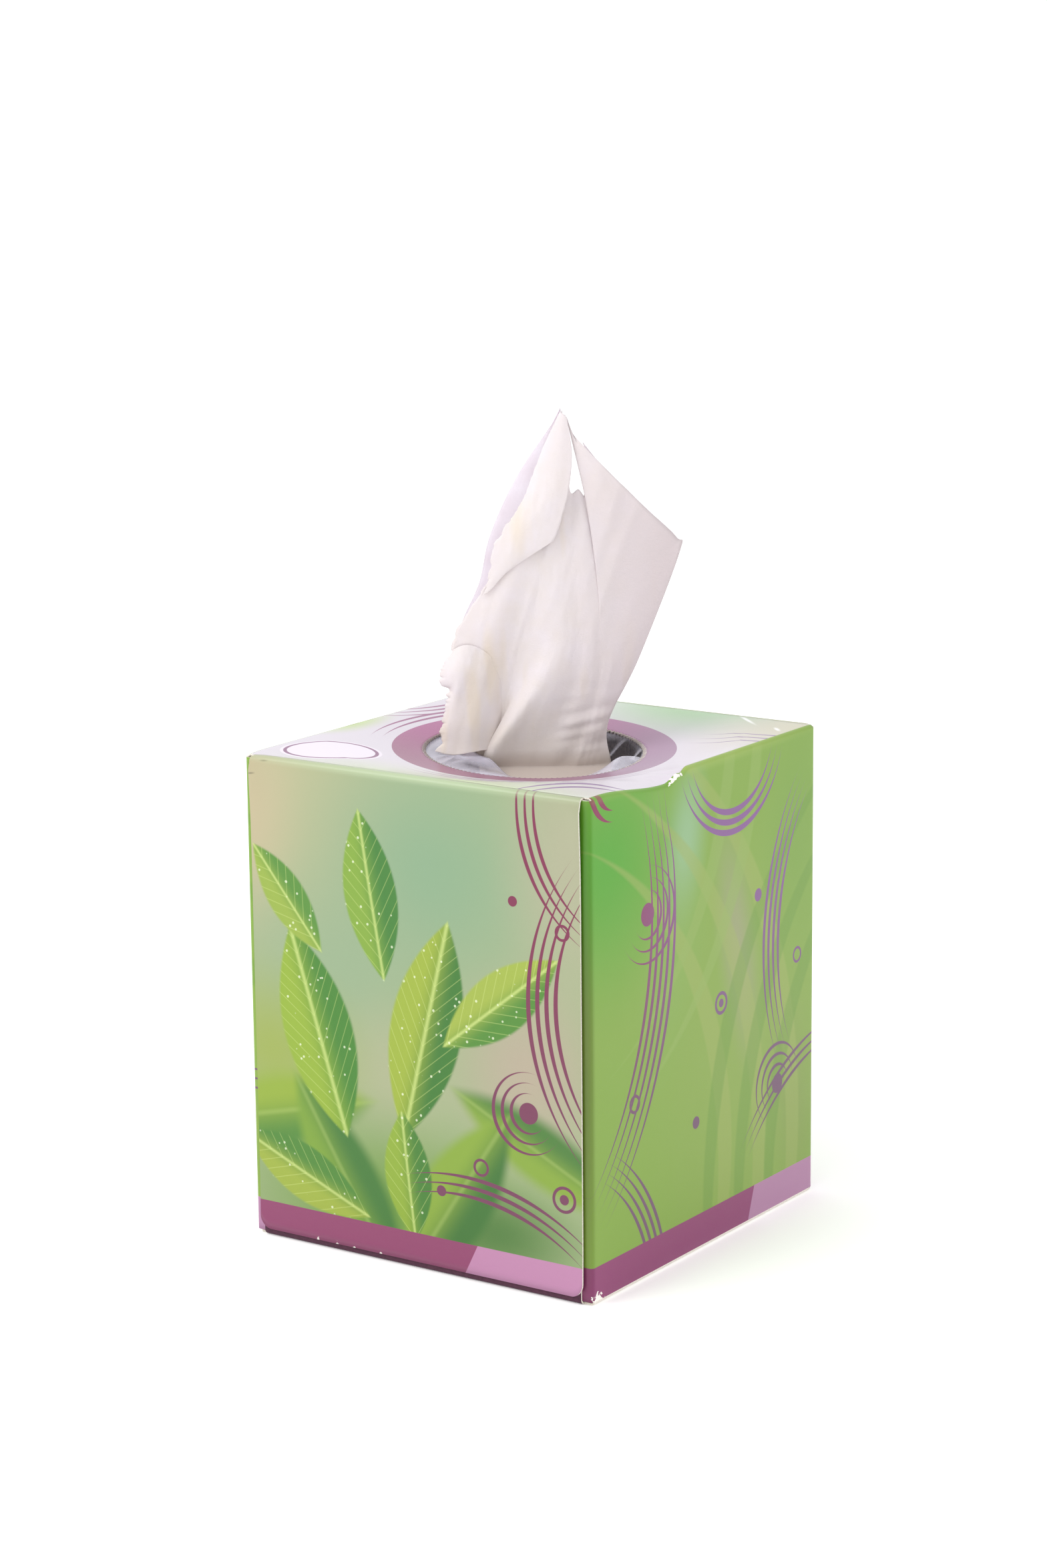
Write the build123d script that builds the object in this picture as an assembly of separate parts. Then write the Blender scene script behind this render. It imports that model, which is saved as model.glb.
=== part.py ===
from build123d import *
import math
import os

# A cube-shaped carton of tissues with one tissue pulled up through the slit of its film window.
# Millimetres, +Z up. The origin is the middle of the carton's underside. X runs across the two
# end closures, which face -Y and +Y, and the side walls face -X and +X.

# Carton board and its folds
carton_width = 102.5
carton_depth = 107.5
carton_height = 125.0
board = 0.5
crease_radius = 1.0
die_cut_gap = 0.4

# End closures: dust flaps inside, then the inner flap, then the outer flap over the whole end
outer_flap_inset = 2.2
outer_flap_lift = 2.0
outer_flap_corner = 3.5
inner_flap_inset = 3.0
inner_flap_height = 78.0
inner_flap_corner = 10.0
dust_flap_length = 46.0
dust_flap_taper = 6.0

# Glued side seam along the lower -X edge
glue_flap_width = 14.0
glue_flap_setback = 4.0
seam_lift = 0.3

# Sagging top panel and its round dispensing opening
dish_margin = 1.25
dish_drop = 2.8
opening_radius = 28.4

# Film window glued under the top panel
film_thickness = 0.2
film_glue_width = 12.0
film_sag = 3.7
slit_length = 53.0
slit_width = 8.0
slit_turn = 28.0

# Pile of tissues, bent over into an upside-down U
pile_height = 79.0
pile_side_clearance = 0.75
pile_end_clearance = 0.75
pile_shoulder_radius = 24.0
pile_core_gap = 3.0
pile_core_height = 42.0

# Pulled tissue: a thin gathered sheet
tissue_thickness = 0.5
tissue_seat_gap = 0.3
tissue_play = 0.6
broad_folds = 2.0
fine_folds = 4.5
tissue_stations = 40
tissue_sections = 23

# Its outline and its gather: on the pile, in the slit, at the drooping lobe, at the waist, at the
# free corner, at the shoulder and at the pinched tip. Heights are above the carton, and left and
# right are measured from the middle of the slit.
foot_left = 26.0
foot_right = 26.0
foot_gather = 3.0
neck_left = 22.5
neck_right = 21.0
neck_below = 8.0
neck_above = 2.0
lobe_height = 14.0
lobe_left = 23.5
lobe_right = 24.5
lobe_gather = 5.0
waist_height = 32.0
waist_left = 16.5
waist_right = 31.0
waist_gather = 6.0
corner_height = 49.0
corner_left = 10.5
corner_right = 37.0
corner_gather = 5.5
shoulder_height = 67.0
shoulder_left = 3.5
shoulder_right = 20.0
shoulder_gather = 2.4
tip_height = 85.0
tip_start = 6.0
tip_width = 3.5

# Lines that follow from the sizes above
half_width = carton_width / 2
half_depth = carton_depth / 2
tube_half = half_depth - 2 * board - crease_radius
dish_radius = half_width - dish_margin
film_edge_height = carton_height - dish_drop - board
film_centre_height = film_edge_height - film_sag
slit_direction = Vector(math.cos(math.radians(slit_turn)), math.sin(math.radians(slit_turn)))
tissue_foot = pile_height + tissue_seat_gap


def hoop(plane, width, height, length):
    """A hoop of board with folded corners, measured outside, run out evenly to both sides of the plane."""
    outside = RectangleRounded(width, height, crease_radius)
    inside = RectangleRounded(width - 2 * board, height - 2 * board, crease_radius - board)
    return extrude(plane * (outside - inside), amount=length / 2, both=True)


def upright(solid):
    """Lifts a solid that is centred on the origin so that it stands in the carton's height."""
    return Pos(0, 0, carton_height / 2) * solid


def beyond_tube(low, high):
    """The two spaces past the ends of the tube, between two heights."""
    reach = half_depth - tube_half
    space = Box(carton_width, reach, high - low)
    middle = tube_half + reach / 2
    return [Pos(0, end * middle, (low + high) / 2) * space for end in (-1, 1)]


def tube():
    """Top, side walls and bottom, folded from one strip and closed by the glued seam."""
    walls = upright(hoop(Plane.XZ, carton_width, carton_height, 2 * tube_half))
    corner = Box(2 * crease_radius, 2 * tube_half, 2 * crease_radius)
    walls -= Pos(-half_width, 0, 0) * corner
    lower_edge = Box(board, 2 * tube_half, crease_radius - seam_lift)
    walls += Pos(-half_width + board / 2, 0, (crease_radius + seam_lift) / 2) * lower_edge
    seam = upright(hoop(Plane.XZ, carton_width - 2 * board, carton_height, 2 * tube_half))
    foot = Box(2 * crease_radius, 2 * tube_half, 2 * crease_radius)
    flap = Box(2 * board, 2 * (tube_half - glue_flap_setback), glue_flap_width - crease_radius)
    seam_foot = seam & (Pos(-half_width + board + crease_radius, 0, crease_radius) * foot)
    seam_flap = seam & (Pos(-half_width + board, 0, (glue_flap_width + crease_radius) / 2) * flap)
    return walls + seam_foot + seam_flap


def outer_flaps():
    """The outer end flaps, folded down from the top panel, with rounded lower corners."""
    width = carton_width - 2 * outer_flap_inset
    closure = upright(hoop(Plane.YZ, carton_depth, carton_height, width))
    height = carton_height - outer_flap_lift
    outline = RectangleRounded(width, height + 2 * outer_flap_corner, outer_flap_corner)
    middle = outer_flap_lift + (height + 2 * outer_flap_corner) / 2
    cutter = Pos(0, 0, middle) * extrude(Plane.XZ * outline, amount=carton_depth, both=True)
    return [(closure & space) & cutter for space in beyond_tube(outer_flap_lift, carton_height)]


def inner_flaps():
    """The inner end flaps, folded up from the bottom panel behind the outer ones."""
    width = carton_width - 2 * inner_flap_inset
    closure = upright(hoop(Plane.YZ, carton_depth - 2 * board, carton_height, width))
    outline = RectangleRounded(width, inner_flap_height + 2 * inner_flap_corner, inner_flap_corner)
    middle = inner_flap_height / 2 - inner_flap_corner
    cutter = Pos(0, 0, middle) * extrude(Plane.XZ * outline, amount=carton_depth, both=True)
    return [(closure & space) & cutter for space in beyond_tube(0, inner_flap_height)]


def dust_flaps():
    """The four dust flaps, folded in from the side walls, each tapering towards its free edge."""
    low = board + die_cut_gap
    high = carton_height - board - die_cut_gap
    ring = upright(hoop(Plane.XY, carton_width, carton_depth - 4 * board, high - low))
    flaps = []
    for side in (-1, 1):
        root = side * half_width
        tip = side * (half_width - dust_flap_length)
        outline = Polygon(
            (root, low), (root, high), (tip, high - dust_flap_taper), (tip, low + dust_flap_taper), align=None
        )
        cutter = extrude(Plane.XZ * outline, amount=carton_depth, both=True)
        flaps += [(ring & space) & cutter for space in beyond_tube(low, high)]
    return flaps


def dish_height(radius):
    """Height of the top panel's outside at a distance from the axis."""
    return carton_height - dish_drop * (dish_radius - radius) / (dish_radius - opening_radius)


def cone_band(inner, inner_height, outer, outer_height, thickness):
    """A ring of sheet that slopes evenly from an inner to an outer radius, given the heights of its top."""
    outline = Polygon(
        (inner, inner_height),
        (outer, outer_height),
        (outer, outer_height - thickness),
        (inner, inner_height - thickness),
        align=None,
    )
    return revolve(Plane.XZ * outline, Axis.Z, 360)


def carton():
    """The folded and glued carton as one sheet of board."""
    body = tube()
    for flap in outer_flaps() + inner_flaps() + dust_flaps():
        body += flap
    panel_cut = Cylinder(dish_radius, 2 * board)
    body -= Pos(0, 0, carton_height) * panel_cut
    return body + cone_band(opening_radius, dish_height(opening_radius), dish_radius, carton_height, board)


def slit_lens():
    """The slit as it stands open: a lens of two arcs, turned to its direction."""
    half_length = slit_length / 2
    half_width_open = slit_width / 2
    front = ThreePointArc((-half_length, 0), (0, -half_width_open), (half_length, 0))
    back = ThreePointArc((half_length, 0), (0, half_width_open), (-half_length, 0))
    lens = extrude(make_face([front, back]), amount=carton_height)
    return Rot(0, 0, slit_turn) * lens


def window_film():
    """The film: a glued margin under the panel and a slack middle with the open slit."""
    margin = opening_radius + film_glue_width
    glued = cone_band(opening_radius, film_edge_height, margin, dish_height(margin) - board, film_thickness)
    slack = cone_band(0, film_centre_height, opening_radius, film_edge_height, film_thickness)
    return glued + slack - slit_lens()


def tissue_pile():
    """The tissues left in the box, as one pile bent over a narrow core."""
    width = carton_width - 2 * (2 * board + pile_side_clearance)
    depth = carton_depth - 2 * (3 * board + pile_end_clearance)
    height = pile_height - board
    block = Rectangle(width, height)
    block = fillet(block.vertices().group_by(Axis.Y)[-1], pile_shoulder_radius)
    core = Rectangle(pile_core_gap, 2 * pile_core_height) + Pos(0, pile_core_height) * Circle(pile_core_gap / 2)
    arch = block - Pos(0, -height / 2) * core
    return Pos(0, 0, board + height / 2) * extrude(Plane.XZ * arch, amount=depth / 2, both=True)


def between(levels, height):
    """The sheet's left edge, right edge and gather at a height, in proportion between two levels."""
    for low, high in zip(levels, levels[1:]):
        if height <= high[0]:
            share = (height - low[0]) / (high[0] - low[0])
            return [a + (b - a) * share for a, b in zip(low[1:], high[1:])]
    return list(levels[-1][1:])


def tissue_section(height, left, right, gather):
    """The sheet's cross-section at a height, from its left to its right edge, waving by its gather."""
    across = slit_direction
    deep = Vector(-across.Y, across.X)

    def centre(s):
        swell = math.sin(math.pi * s)
        wave = 0.6 * math.sin(2 * math.pi * broad_folds * s) + 0.4 * math.sin(2 * math.pi * fine_folds * s)
        return across * (left + (right - left) * s) + deep * (gather * swell * wave)

    front, back = [], []
    step = 0.5 / tissue_stations
    for i in range(tissue_stations + 1):
        s = i / tissue_stations
        along = (centre(min(s + step, 1)) - centre(max(s - step, 0))).normalized()
        offset = Vector(-along.Y, along.X) * (tissue_thickness / 2)
        lift = Vector(0, 0, height)
        front.append(centre(s) - offset + lift)
        back.append(centre(s) + offset + lift)
    return Wire.make_polygon(front + back[::-1], close=True)


def pulled_tissue():
    """The pulled tissue, from its foot on the pile through the slit to its pinched tip."""
    neck_gather = (slit_width - tissue_thickness) / 2 - tissue_play
    levels = [
        (tissue_foot, -foot_left, foot_right, foot_gather),
        (film_centre_height - neck_below, -neck_left, neck_right, neck_gather),
        (film_edge_height + neck_above, -neck_left, neck_right, neck_gather),
        (carton_height + lobe_height, -lobe_left, lobe_right, lobe_gather),
        (carton_height + waist_height, -waist_left, waist_right, waist_gather),
        (carton_height + corner_height, -corner_left, corner_right, corner_gather),
        (carton_height + shoulder_height, -shoulder_left, shoulder_right, shoulder_gather),
        (carton_height + tip_height, tip_start, tip_start + tip_width, 0),
    ]
    spans = tissue_sections - 1
    rise = levels[-1][0] - tissue_foot
    heights = [tissue_foot + rise * i / spans for i in range(tissue_sections)]
    return Solid.make_loft([tissue_section(h, *between(levels, h)) for h in heights], ruled=True)


parts = {
    "carton": carton(),
    "window_film": window_film(),
    "tissue_pile": tissue_pile(),
    "pulled_tissue": pulled_tissue(),
}
os.makedirs("parts", exist_ok=True)
for name, shape in parts.items():
    export_step(shape, f"parts/{name}.step")
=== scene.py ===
import logging
import math
from dataclasses import dataclass, field
from enum import Enum
from typing import Sequence

import bmesh
import bpy
from mathutils import Matrix, Vector, noise


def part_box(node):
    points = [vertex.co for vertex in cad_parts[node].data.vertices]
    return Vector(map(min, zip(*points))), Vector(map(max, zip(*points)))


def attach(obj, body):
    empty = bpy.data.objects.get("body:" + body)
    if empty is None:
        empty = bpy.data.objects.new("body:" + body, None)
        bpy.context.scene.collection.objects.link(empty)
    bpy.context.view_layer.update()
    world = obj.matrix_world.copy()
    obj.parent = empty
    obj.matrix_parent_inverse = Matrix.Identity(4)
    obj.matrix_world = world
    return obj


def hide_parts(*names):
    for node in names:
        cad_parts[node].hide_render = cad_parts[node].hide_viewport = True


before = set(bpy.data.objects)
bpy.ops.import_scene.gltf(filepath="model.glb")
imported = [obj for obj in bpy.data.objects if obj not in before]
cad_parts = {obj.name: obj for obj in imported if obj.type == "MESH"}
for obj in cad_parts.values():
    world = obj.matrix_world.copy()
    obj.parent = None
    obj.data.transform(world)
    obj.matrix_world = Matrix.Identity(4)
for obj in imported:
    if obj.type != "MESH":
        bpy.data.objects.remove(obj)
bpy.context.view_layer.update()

# A cube-shaped carton of tissues with one tissue pulled up through the slit of its film window.
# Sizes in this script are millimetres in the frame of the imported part: +Z up, the end closures face
# -Y and +Y, the side walls face -X and +X.
MM = 0.001
log = logging.getLogger("tissue_box")
Grid = list[list[Vector]]
Pair = tuple[float, float]
Triple = tuple[float, float, float]
Socket = bpy.types.NodeSocket
Material = bpy.types.Material


def linear(hex_colour: str) -> tuple[float, float, float, float]:
    """Turns an sRGB colour into Blender's linear one.

    Args:
        hex_colour: six hexadecimal digits after a hash mark.

    Returns:
        Linear red, green and blue, and an alpha of 1.
    """
    parts = [int(hex_colour[i : i + 2], 16) / 255 for i in (1, 3, 5)]
    red, green, blue = (p / 12.92 if p <= 0.04045 else ((p + 0.055) / 1.055) ** 2.4 for p in parts)
    return red, green, blue, 1.0


def add_node(tree: bpy.types.NodeTree, kind: str, inputs: dict | None = None, **settings) -> bpy.types.Node:
    """Adds a shader node with its settings and its links.

    Args:
        tree: the node tree that gets the node.
        kind: the node's type without its "ShaderNode" prefix.
        inputs: for each input's name or number a value, a socket, or a node whose first output is meant.
        settings: the node's own properties.

    Returns:
        The new node.
    """
    node = tree.nodes.new("ShaderNode" + kind)
    for name, value in settings.items():
        setattr(node, name, value)
    for key, value in (inputs or {}).items():
        if isinstance(value, bpy.types.Node):
            value = value.outputs[0]
        if isinstance(value, bpy.types.NodeSocket):
            tree.links.new(value, node.inputs[key])
        else:
            node.inputs[key].default_value = value
    return node


def blank(name: str) -> tuple[Material, bpy.types.NodeTree]:
    """Starts a material and gives it with its empty node tree.

    Args:
        name: the material's name.

    Returns:
        The material and its tree.
    """
    material = bpy.data.materials.new(name)
    material.use_nodes = True
    material.node_tree.nodes.clear()
    return material, material.node_tree


def smooth(low: float, high: float, value: float) -> float:
    """Eases from 0 at low to 1 at high."""
    t = min(max((value - low) / (high - low), 0.0), 1.0)
    return t * t * (3 - 2 * t)


def bump(offset: float, reach: float) -> float:
    """Gives a bell of height 1 at offset 0 that fades within the reach."""
    return math.exp(-((offset / reach) ** 2))


def catmull(points: Sequence[Vector], t: float) -> Vector:
    """Finds a point on a smooth curve through control points.

    Args:
        points: the control points, in order.
        t: the place along them, from 0 at the first to 1 at the last.

    Returns:
        The point there of a Catmull-Rom curve.
    """
    spans = len(points) - 1
    i = min(int(t * spans), spans - 1)
    u = t * spans - i
    p1, p2 = points[i], points[i + 1]
    p0 = points[i - 1] if i else p1 * 2 - p2
    p3 = points[i + 2] if i + 2 <= spans else p2 * 2 - p1
    steady = (p2 - p0) * u
    quick = (p0 * 2 - p1 * 5 + p2 * 4 - p3) * u**2
    quicker = (p1 * 3 - p0 - p2 * 3 + p3) * u**3
    return (p1 * 2 + steady + quick + quicker) / 2


@dataclass
class MeshMaker:
    """Collects grids of points in millimetres and makes one mesh object of them.

    Attributes:
        name: the piece's name.
        points: the points so far.
        faces: the faces so far, as point numbers.
        finishes: each face's material number.
    """

    name: str
    points: list[Vector] = field(default_factory=list)
    faces: list[tuple[int, ...]] = field(default_factory=list)
    finishes: list[int] = field(default_factory=list)

    def grid(self, rows: Grid, finish: int = 0, closed: bool = False, flip: bool = False) -> None:
        """Adds a grid of quads.

        Args:
            rows: rows of points, all of one length.
            finish: the material number of its faces.
            closed: whether each row joins its end to its start.
            flip: whether the faces look the other way.
        """
        start = len(self.points)
        width = len(rows[0])
        for row in rows:
            self.points += row
        for i in range(len(rows) - 1):
            for j in range(width if closed else width - 1):
                a = start + i * width + j
                b = start + i * width + (j + 1) % width
                quad = (a, b, b + width, a + width)
                self.faces.append(quad[::-1] if flip else quad)
                self.finishes.append(finish)

    def build(self, materials: Sequence[Material], weld: float = 0.004) -> bpy.types.Object:
        """Makes the mesh object.

        Args:
            materials: the material slots.
            weld: points nearer than this, in millimetres, become one.

        Returns:
            The object, linked to the scene and smooth-shaded.
        """
        mesh = bpy.data.meshes.new(self.name)
        mesh.from_pydata([p * MM for p in self.points], [], self.faces)
        for material in materials:
            mesh.materials.append(material)
        mesh.polygons.foreach_set("material_index", self.finishes)
        mesh.polygons.foreach_set("use_smooth", [True] * len(self.faces))
        work = bmesh.new()
        work.from_mesh(mesh)
        bmesh.ops.remove_doubles(work, verts=work.verts, dist=weld * MM)
        work.to_mesh(mesh)
        work.free()
        piece = bpy.data.objects.new(self.name, mesh)
        bpy.context.scene.collection.objects.link(piece)
        return piece


def settle(piece: bpy.types.Object, slot: str, *nodes: str) -> bpy.types.Object:
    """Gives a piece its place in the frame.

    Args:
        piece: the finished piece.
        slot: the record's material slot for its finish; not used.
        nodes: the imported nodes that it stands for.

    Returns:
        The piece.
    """
    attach(piece, "root")
    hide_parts(*nodes)
    log.info("%s: %d faces", piece.name, len(piece.data.polygons))
    return piece


def thicken(piece: bpy.types.Object, thickness: float, inner: int = 0, rim: int = 0) -> None:
    """Gives a sheet its thickness, behind its faces, as plain mesh.

    Args:
        piece: the sheet.
        thickness: in millimetres.
        inner: how many slots after a face's own one its back takes its material from.
        rim: the same for the cut edge.
    """
    solid = piece.modifiers.new("thickness", "SOLIDIFY")
    solid.thickness = thickness * MM
    solid.offset = -1
    solid.material_offset = inner
    solid.material_offset_rim = rim
    shape = bpy.data.meshes.new_from_object(piece.evaluated_get(bpy.context.evaluated_depsgraph_get()))
    piece.modifiers.clear()
    piece.data = shape


class Face(Enum):
    """The printed upright faces of the carton: the axis that runs to the right on each, and its sign."""

    FRONT = ("X", 1)
    BACK = ("X", -1)
    RIGHT = ("Y", 1)
    LEFT = ("Y", -1)


@dataclass(frozen=True)
class Wash:
    """A soft oval field of printed colour.

    Attributes:
        colour: its sRGB colour.
        centre: its middle on the face, in millimetres to the right and up.
        reach: its half-width and half-height where it has faded out.
        turn: its turn in degrees, anticlockwise.
        strength: how much of the colour lies over the rest at its middle.
    """

    colour: str
    centre: Pair
    reach: Pair
    turn: float = 0.0
    strength: float = 1.0


@dataclass(frozen=True)
class Leaf:
    """A printed broad leaf in two tones with a pale midrib, and with veins and drops where it is in focus.

    Attributes:
        centre: its middle on the face, in millimetres.
        half: its half-length and half-width.
        turn: the direction of its tip in degrees.
        light: the sRGB colour of the half on its left.
        dark: the sRGB colour of the half on its right.
        blur: how soft its outline is, as a share of its half-width.
        midrib: half the midrib's width, as a share of the same.
        rib_strength: how clear the midrib is in focus, and how clear out of focus.
        vein: how far along the leaf lies from a vein to the middle between two, in millimetres.
        vein_lean: how much faster a vein runs towards the tip than out to the side.
        pale: the sRGB colour of its midrib and veins.
        dew: the sRGB colour of the drops on it.
    """

    centre: Pair
    half: Pair
    turn: float
    light: str
    dark: str
    blur: float = 0.12
    midrib: float = 0.09
    rib_strength: Pair = (0.55, 0.15)
    vein: float = 2.0
    vein_lean: float = 1.3
    pale: str = "#c9d884"
    dew: str = "#e9efd2"

    @property
    def crisp(self) -> bool:
        """Whether it is in focus."""
        return self.blur < 0.2


@dataclass(frozen=True)
class Arcs:
    """A family of nested printed arcs that thin out towards their ends.

    Attributes:
        centre: the shared centre on the face, in millimetres.
        radius: the innermost arc's radius.
        spacing: from one arc to the next.
        count: how many arcs.
        middle: the direction of the arcs' middle in degrees.
        spread: the angle from the middle to each end in degrees.
        width: the line's width at the middle.
    """

    centre: Pair
    radius: float
    spacing: float
    count: int
    middle: float
    spread: float
    width: float


@dataclass(frozen=True)
class Disc:
    """A small printed dot, or a ring where it has an inner radius.

    Attributes:
        centre: its middle on the face, in millimetres.
        radius: its outer radius.
        inner: its inner radius.
    """

    centre: Pair
    radius: float
    inner: float = 0.0


@dataclass(frozen=True)
class Band:
    """The plain band along the foot of a wall, in two tones that meet at a slanting edge.

    Attributes:
        top: the height of its upper edge.
        slant: where the two colours meet on the wall's foot, to the right of its middle.
        lean: how far the meeting edge leans to the right for each millimetre up.
        dark: the sRGB colour on the left.
        light: the sRGB colour on the right.
    """

    top: float
    slant: float
    lean: float
    dark: str
    light: str


@dataclass
class PrintedBoard:
    """Coated cartonboard, offset printed and varnished: flat clear colours under a soft gloss.

    Attributes:
        name: the material's name.
        ground: the sRGB colour under all the print.
        face: the upright face that it covers, or None for the top as seen from above.
        drops: from one printed drop of dew to the next.
        edge: half the softness of a printed edge.
        fleck: the size of the flecks in which print cracks off its white core.
        waves: from crest to crest of the long-grain waviness of laminated board.
        felt: the size of the board's felted grain.
        uneven: how far the felt moves the roughness.
        core: the sRGB colour of the board's white core.
        worn_off: from which sum of wear and fleck to which the print is gone.
    """

    name: str
    ground: str
    face: Face | None = None
    roughness: float = 0.34
    ior: float = 1.5
    specular: float = 0.3
    coat: float = 0.2
    coat_roughness: float = 0.16
    drops: float = 2.6
    edge: float = 0.05
    fleck: float = 0.9
    waves: float = 14.0
    felt: float = 0.5
    uneven: float = 0.05
    core: str = "#f3efe8"
    worn_off: Pair = (1.02, 1.08)

    def __post_init__(self) -> None:
        """Starts the material and lays out the face's own millimetres: right, up and 0."""
        self.material, self.tree = blank(self.name)
        self.colour = linear(self.ground)
        spot = add_node(self.tree, "TexCoord").outputs["Object"]
        self.spot = add_node(self.tree, "VectorMath", {0: spot, "Scale": 1 / MM}, operation="SCALE")
        axes = add_node(self.tree, "SeparateXYZ", {0: self.spot})
        right, up = axes.outputs["X"], axes.outputs["Y"]
        if self.face:
            axis, sign = self.face.value
            right = add_node(self.tree, "Math", {0: axes.outputs[axis], 1: float(sign)}, operation="MULTIPLY")
            up = axes.outputs["Z"]
        self.right, self.up = right, up
        self.place = add_node(self.tree, "CombineXYZ", {0: right, 1: up})
        dotted = {"Vector": self.place, "Scale": 1 / self.drops}
        self.dew = add_node(self.tree, "TexVoronoi", dotted).outputs["Distance"]

    def blend(
        self, value: object, low: float, high: float, under: object, over: object, peak: float = 1.0
    ) -> Socket:
        """Gives one colour where a value is low, eased into another where it is high.

        Args:
            value: the value, as a node or a socket.
            low: where only the first colour shows.
            high: where the second has reached its peak.
            under: the first colour.
            over: the second colour.
            peak: how much of the second colour shows there.

        Returns:
            The blended colour.
        """
        inputs = {"Value": value, "From Min": low, "From Max": high, "To Max": peak}
        mask = add_node(self.tree, "MapRange", inputs, interpolation_type="SMOOTHSTEP")
        return add_node(self.tree, "Mix", {0: mask, 6: under, 7: over}, data_type="RGBA").outputs[2]

    def cover(self, value: object, low: float, high: float, colour: object, peak: float = 1.0) -> None:
        """Lays a colour over the print, from none where a value is low to its peak where it is high."""
        self.colour = self.blend(value, low, high, self.colour, colour, peak)

    def around(self, centre: Pair, reach: Pair = (1.0, 1.0), turn: float = 0.0) -> dict:
        """Gives the mapping inputs that put a motif's centre at 0 and its reach at 1."""
        return {0: self.place, 1: (*centre, 0), 2: (0, 0, math.radians(turn)), 3: (*reach, 1)}

    def distance(self, centre: Pair, reach: Pair = (1.0, 1.0), turn: float = 0.0) -> Socket:
        """Gives how far a point is from a motif's centre, where its reach counts as 1."""
        near = add_node(self.tree, "Mapping", self.around(centre, reach, turn), vector_type="TEXTURE")
        return add_node(self.tree, "VectorMath", {0: near}, operation="LENGTH").outputs["Value"]

    def wash(self, wash: Wash) -> None:
        """Prints a soft field of colour."""
        far = self.distance(wash.centre, wash.reach, wash.turn)
        self.cover(far, 1.0, 0.0, linear(wash.colour), wash.strength)

    def leaf(self, leaf: Leaf) -> None:
        """Prints a leaf: a pointed oval.

        Args:
            leaf: where it lies and how it looks.
        """
        laid = self.around(leaf.centre, leaf.half, leaf.turn)
        near = add_node(self.tree, "Mapping", laid, vector_type="TEXTURE")
        axes = add_node(self.tree, "SeparateXYZ", {0: near})
        along, across = axes.outputs["X"], axes.outputs["Y"]
        square = add_node(self.tree, "Math", {0: along, 1: along}, operation="MULTIPLY")
        profile = add_node(self.tree, "Math", {0: 1.0, 1: square}, operation="SUBTRACT")
        side = add_node(self.tree, "Math", {0: across}, operation="ABSOLUTE")
        inside = add_node(self.tree, "Math", {0: profile, 1: side}, operation="SUBTRACT")
        pale, drop = linear(leaf.pale), linear(leaf.dew)
        tone = self.blend(across, -0.5, 0.4, linear(leaf.dark), linear(leaf.light))
        tone = self.blend(side, leaf.midrib, 0.0, tone, pale, leaf.rib_strength[not leaf.crisp])
        if leaf.crisp:
            length, width = leaf.half
            lean = add_node(self.tree, "Math", {0: side, 1: -leaf.vein_lean * width}, operation="MULTIPLY")
            run = add_node(self.tree, "Math", {0: along, 1: length, 2: lean}, operation="MULTIPLY_ADD")
            vein = add_node(self.tree, "Math", {0: run, 1: leaf.vein}, operation="PINGPONG")
            tone = self.blend(vein, 0.3, 0.0, tone, pale, 0.3)
            tone = self.blend(self.dew, 0.16, 0.1, tone, drop, 0.55)
        self.cover(inside, 0.0, leaf.blur, tone)

    def arcs(self, arcs: Arcs, colour: object, blur: float = 0.12, strength: float = 1.0) -> None:
        """Prints a family of nested arcs.

        Args:
            arcs: the family.
            colour: its colour.
            blur: how soft the lines' edges are, in millimetres.
            strength: how much of the colour lies over the rest.
        """
        laid = self.around(arcs.centre, turn=arcs.middle)
        around = add_node(self.tree, "Mapping", laid, vector_type="TEXTURE")
        near = add_node(self.tree, "SeparateXYZ", {0: around})
        reach = add_node(self.tree, "VectorMath", {0: around}, operation="LENGTH").outputs["Value"]
        angle = add_node(self.tree, "Math", {0: near.outputs["Y"], 1: near.outputs["X"]}, operation="ARCTAN2")
        turned = add_node(self.tree, "Math", {0: angle}, operation="ABSOLUTE")
        thinning = {"Value": turned, "From Min": math.radians(arcs.spread), "From Max": 0.0}
        thinning["To Max"] = arcs.width / 2 + blur
        half = add_node(self.tree, "MapRange", thinning, interpolation_type="SMOOTHSTEP")
        past = add_node(self.tree, "Math", {0: reach, 1: arcs.radius}, operation="SUBTRACT")
        nearest = add_node(self.tree, "Math", {0: past, 1: arcs.spacing / 2}, operation="ADD")
        steps = add_node(self.tree, "Math", {0: nearest, 1: arcs.spacing}, operation="SNAP")
        last = (arcs.count - 1) * arcs.spacing
        line = add_node(self.tree, "Clamp", {"Value": steps, "Min": 0.0, "Max": last})
        offset = add_node(self.tree, "Math", {0: past, 1: line}, operation="SUBTRACT")
        distance = add_node(self.tree, "Math", {0: offset}, operation="ABSOLUTE")
        inside = add_node(self.tree, "Math", {0: half, 1: distance}, operation="SUBTRACT")
        self.cover(inside, 0.0, blur, colour, strength)

    def disc(self, disc: Disc, colour: object) -> None:
        """Prints a dot or a ring.

        Args:
            disc: where it lies and its radii.
            colour: its colour.
        """
        middle, half = (disc.radius + disc.inner) / 2, (disc.radius - disc.inner) / 2
        if not disc.inner:
            middle, half = 0.0, disc.radius
        offset = add_node(self.tree, "Math", {0: self.distance(disc.centre), 1: middle}, operation="SUBTRACT")
        off_line = add_node(self.tree, "Math", {0: offset}, operation="ABSOLUTE")
        self.cover(off_line, half + self.edge, half - self.edge, colour)

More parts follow.
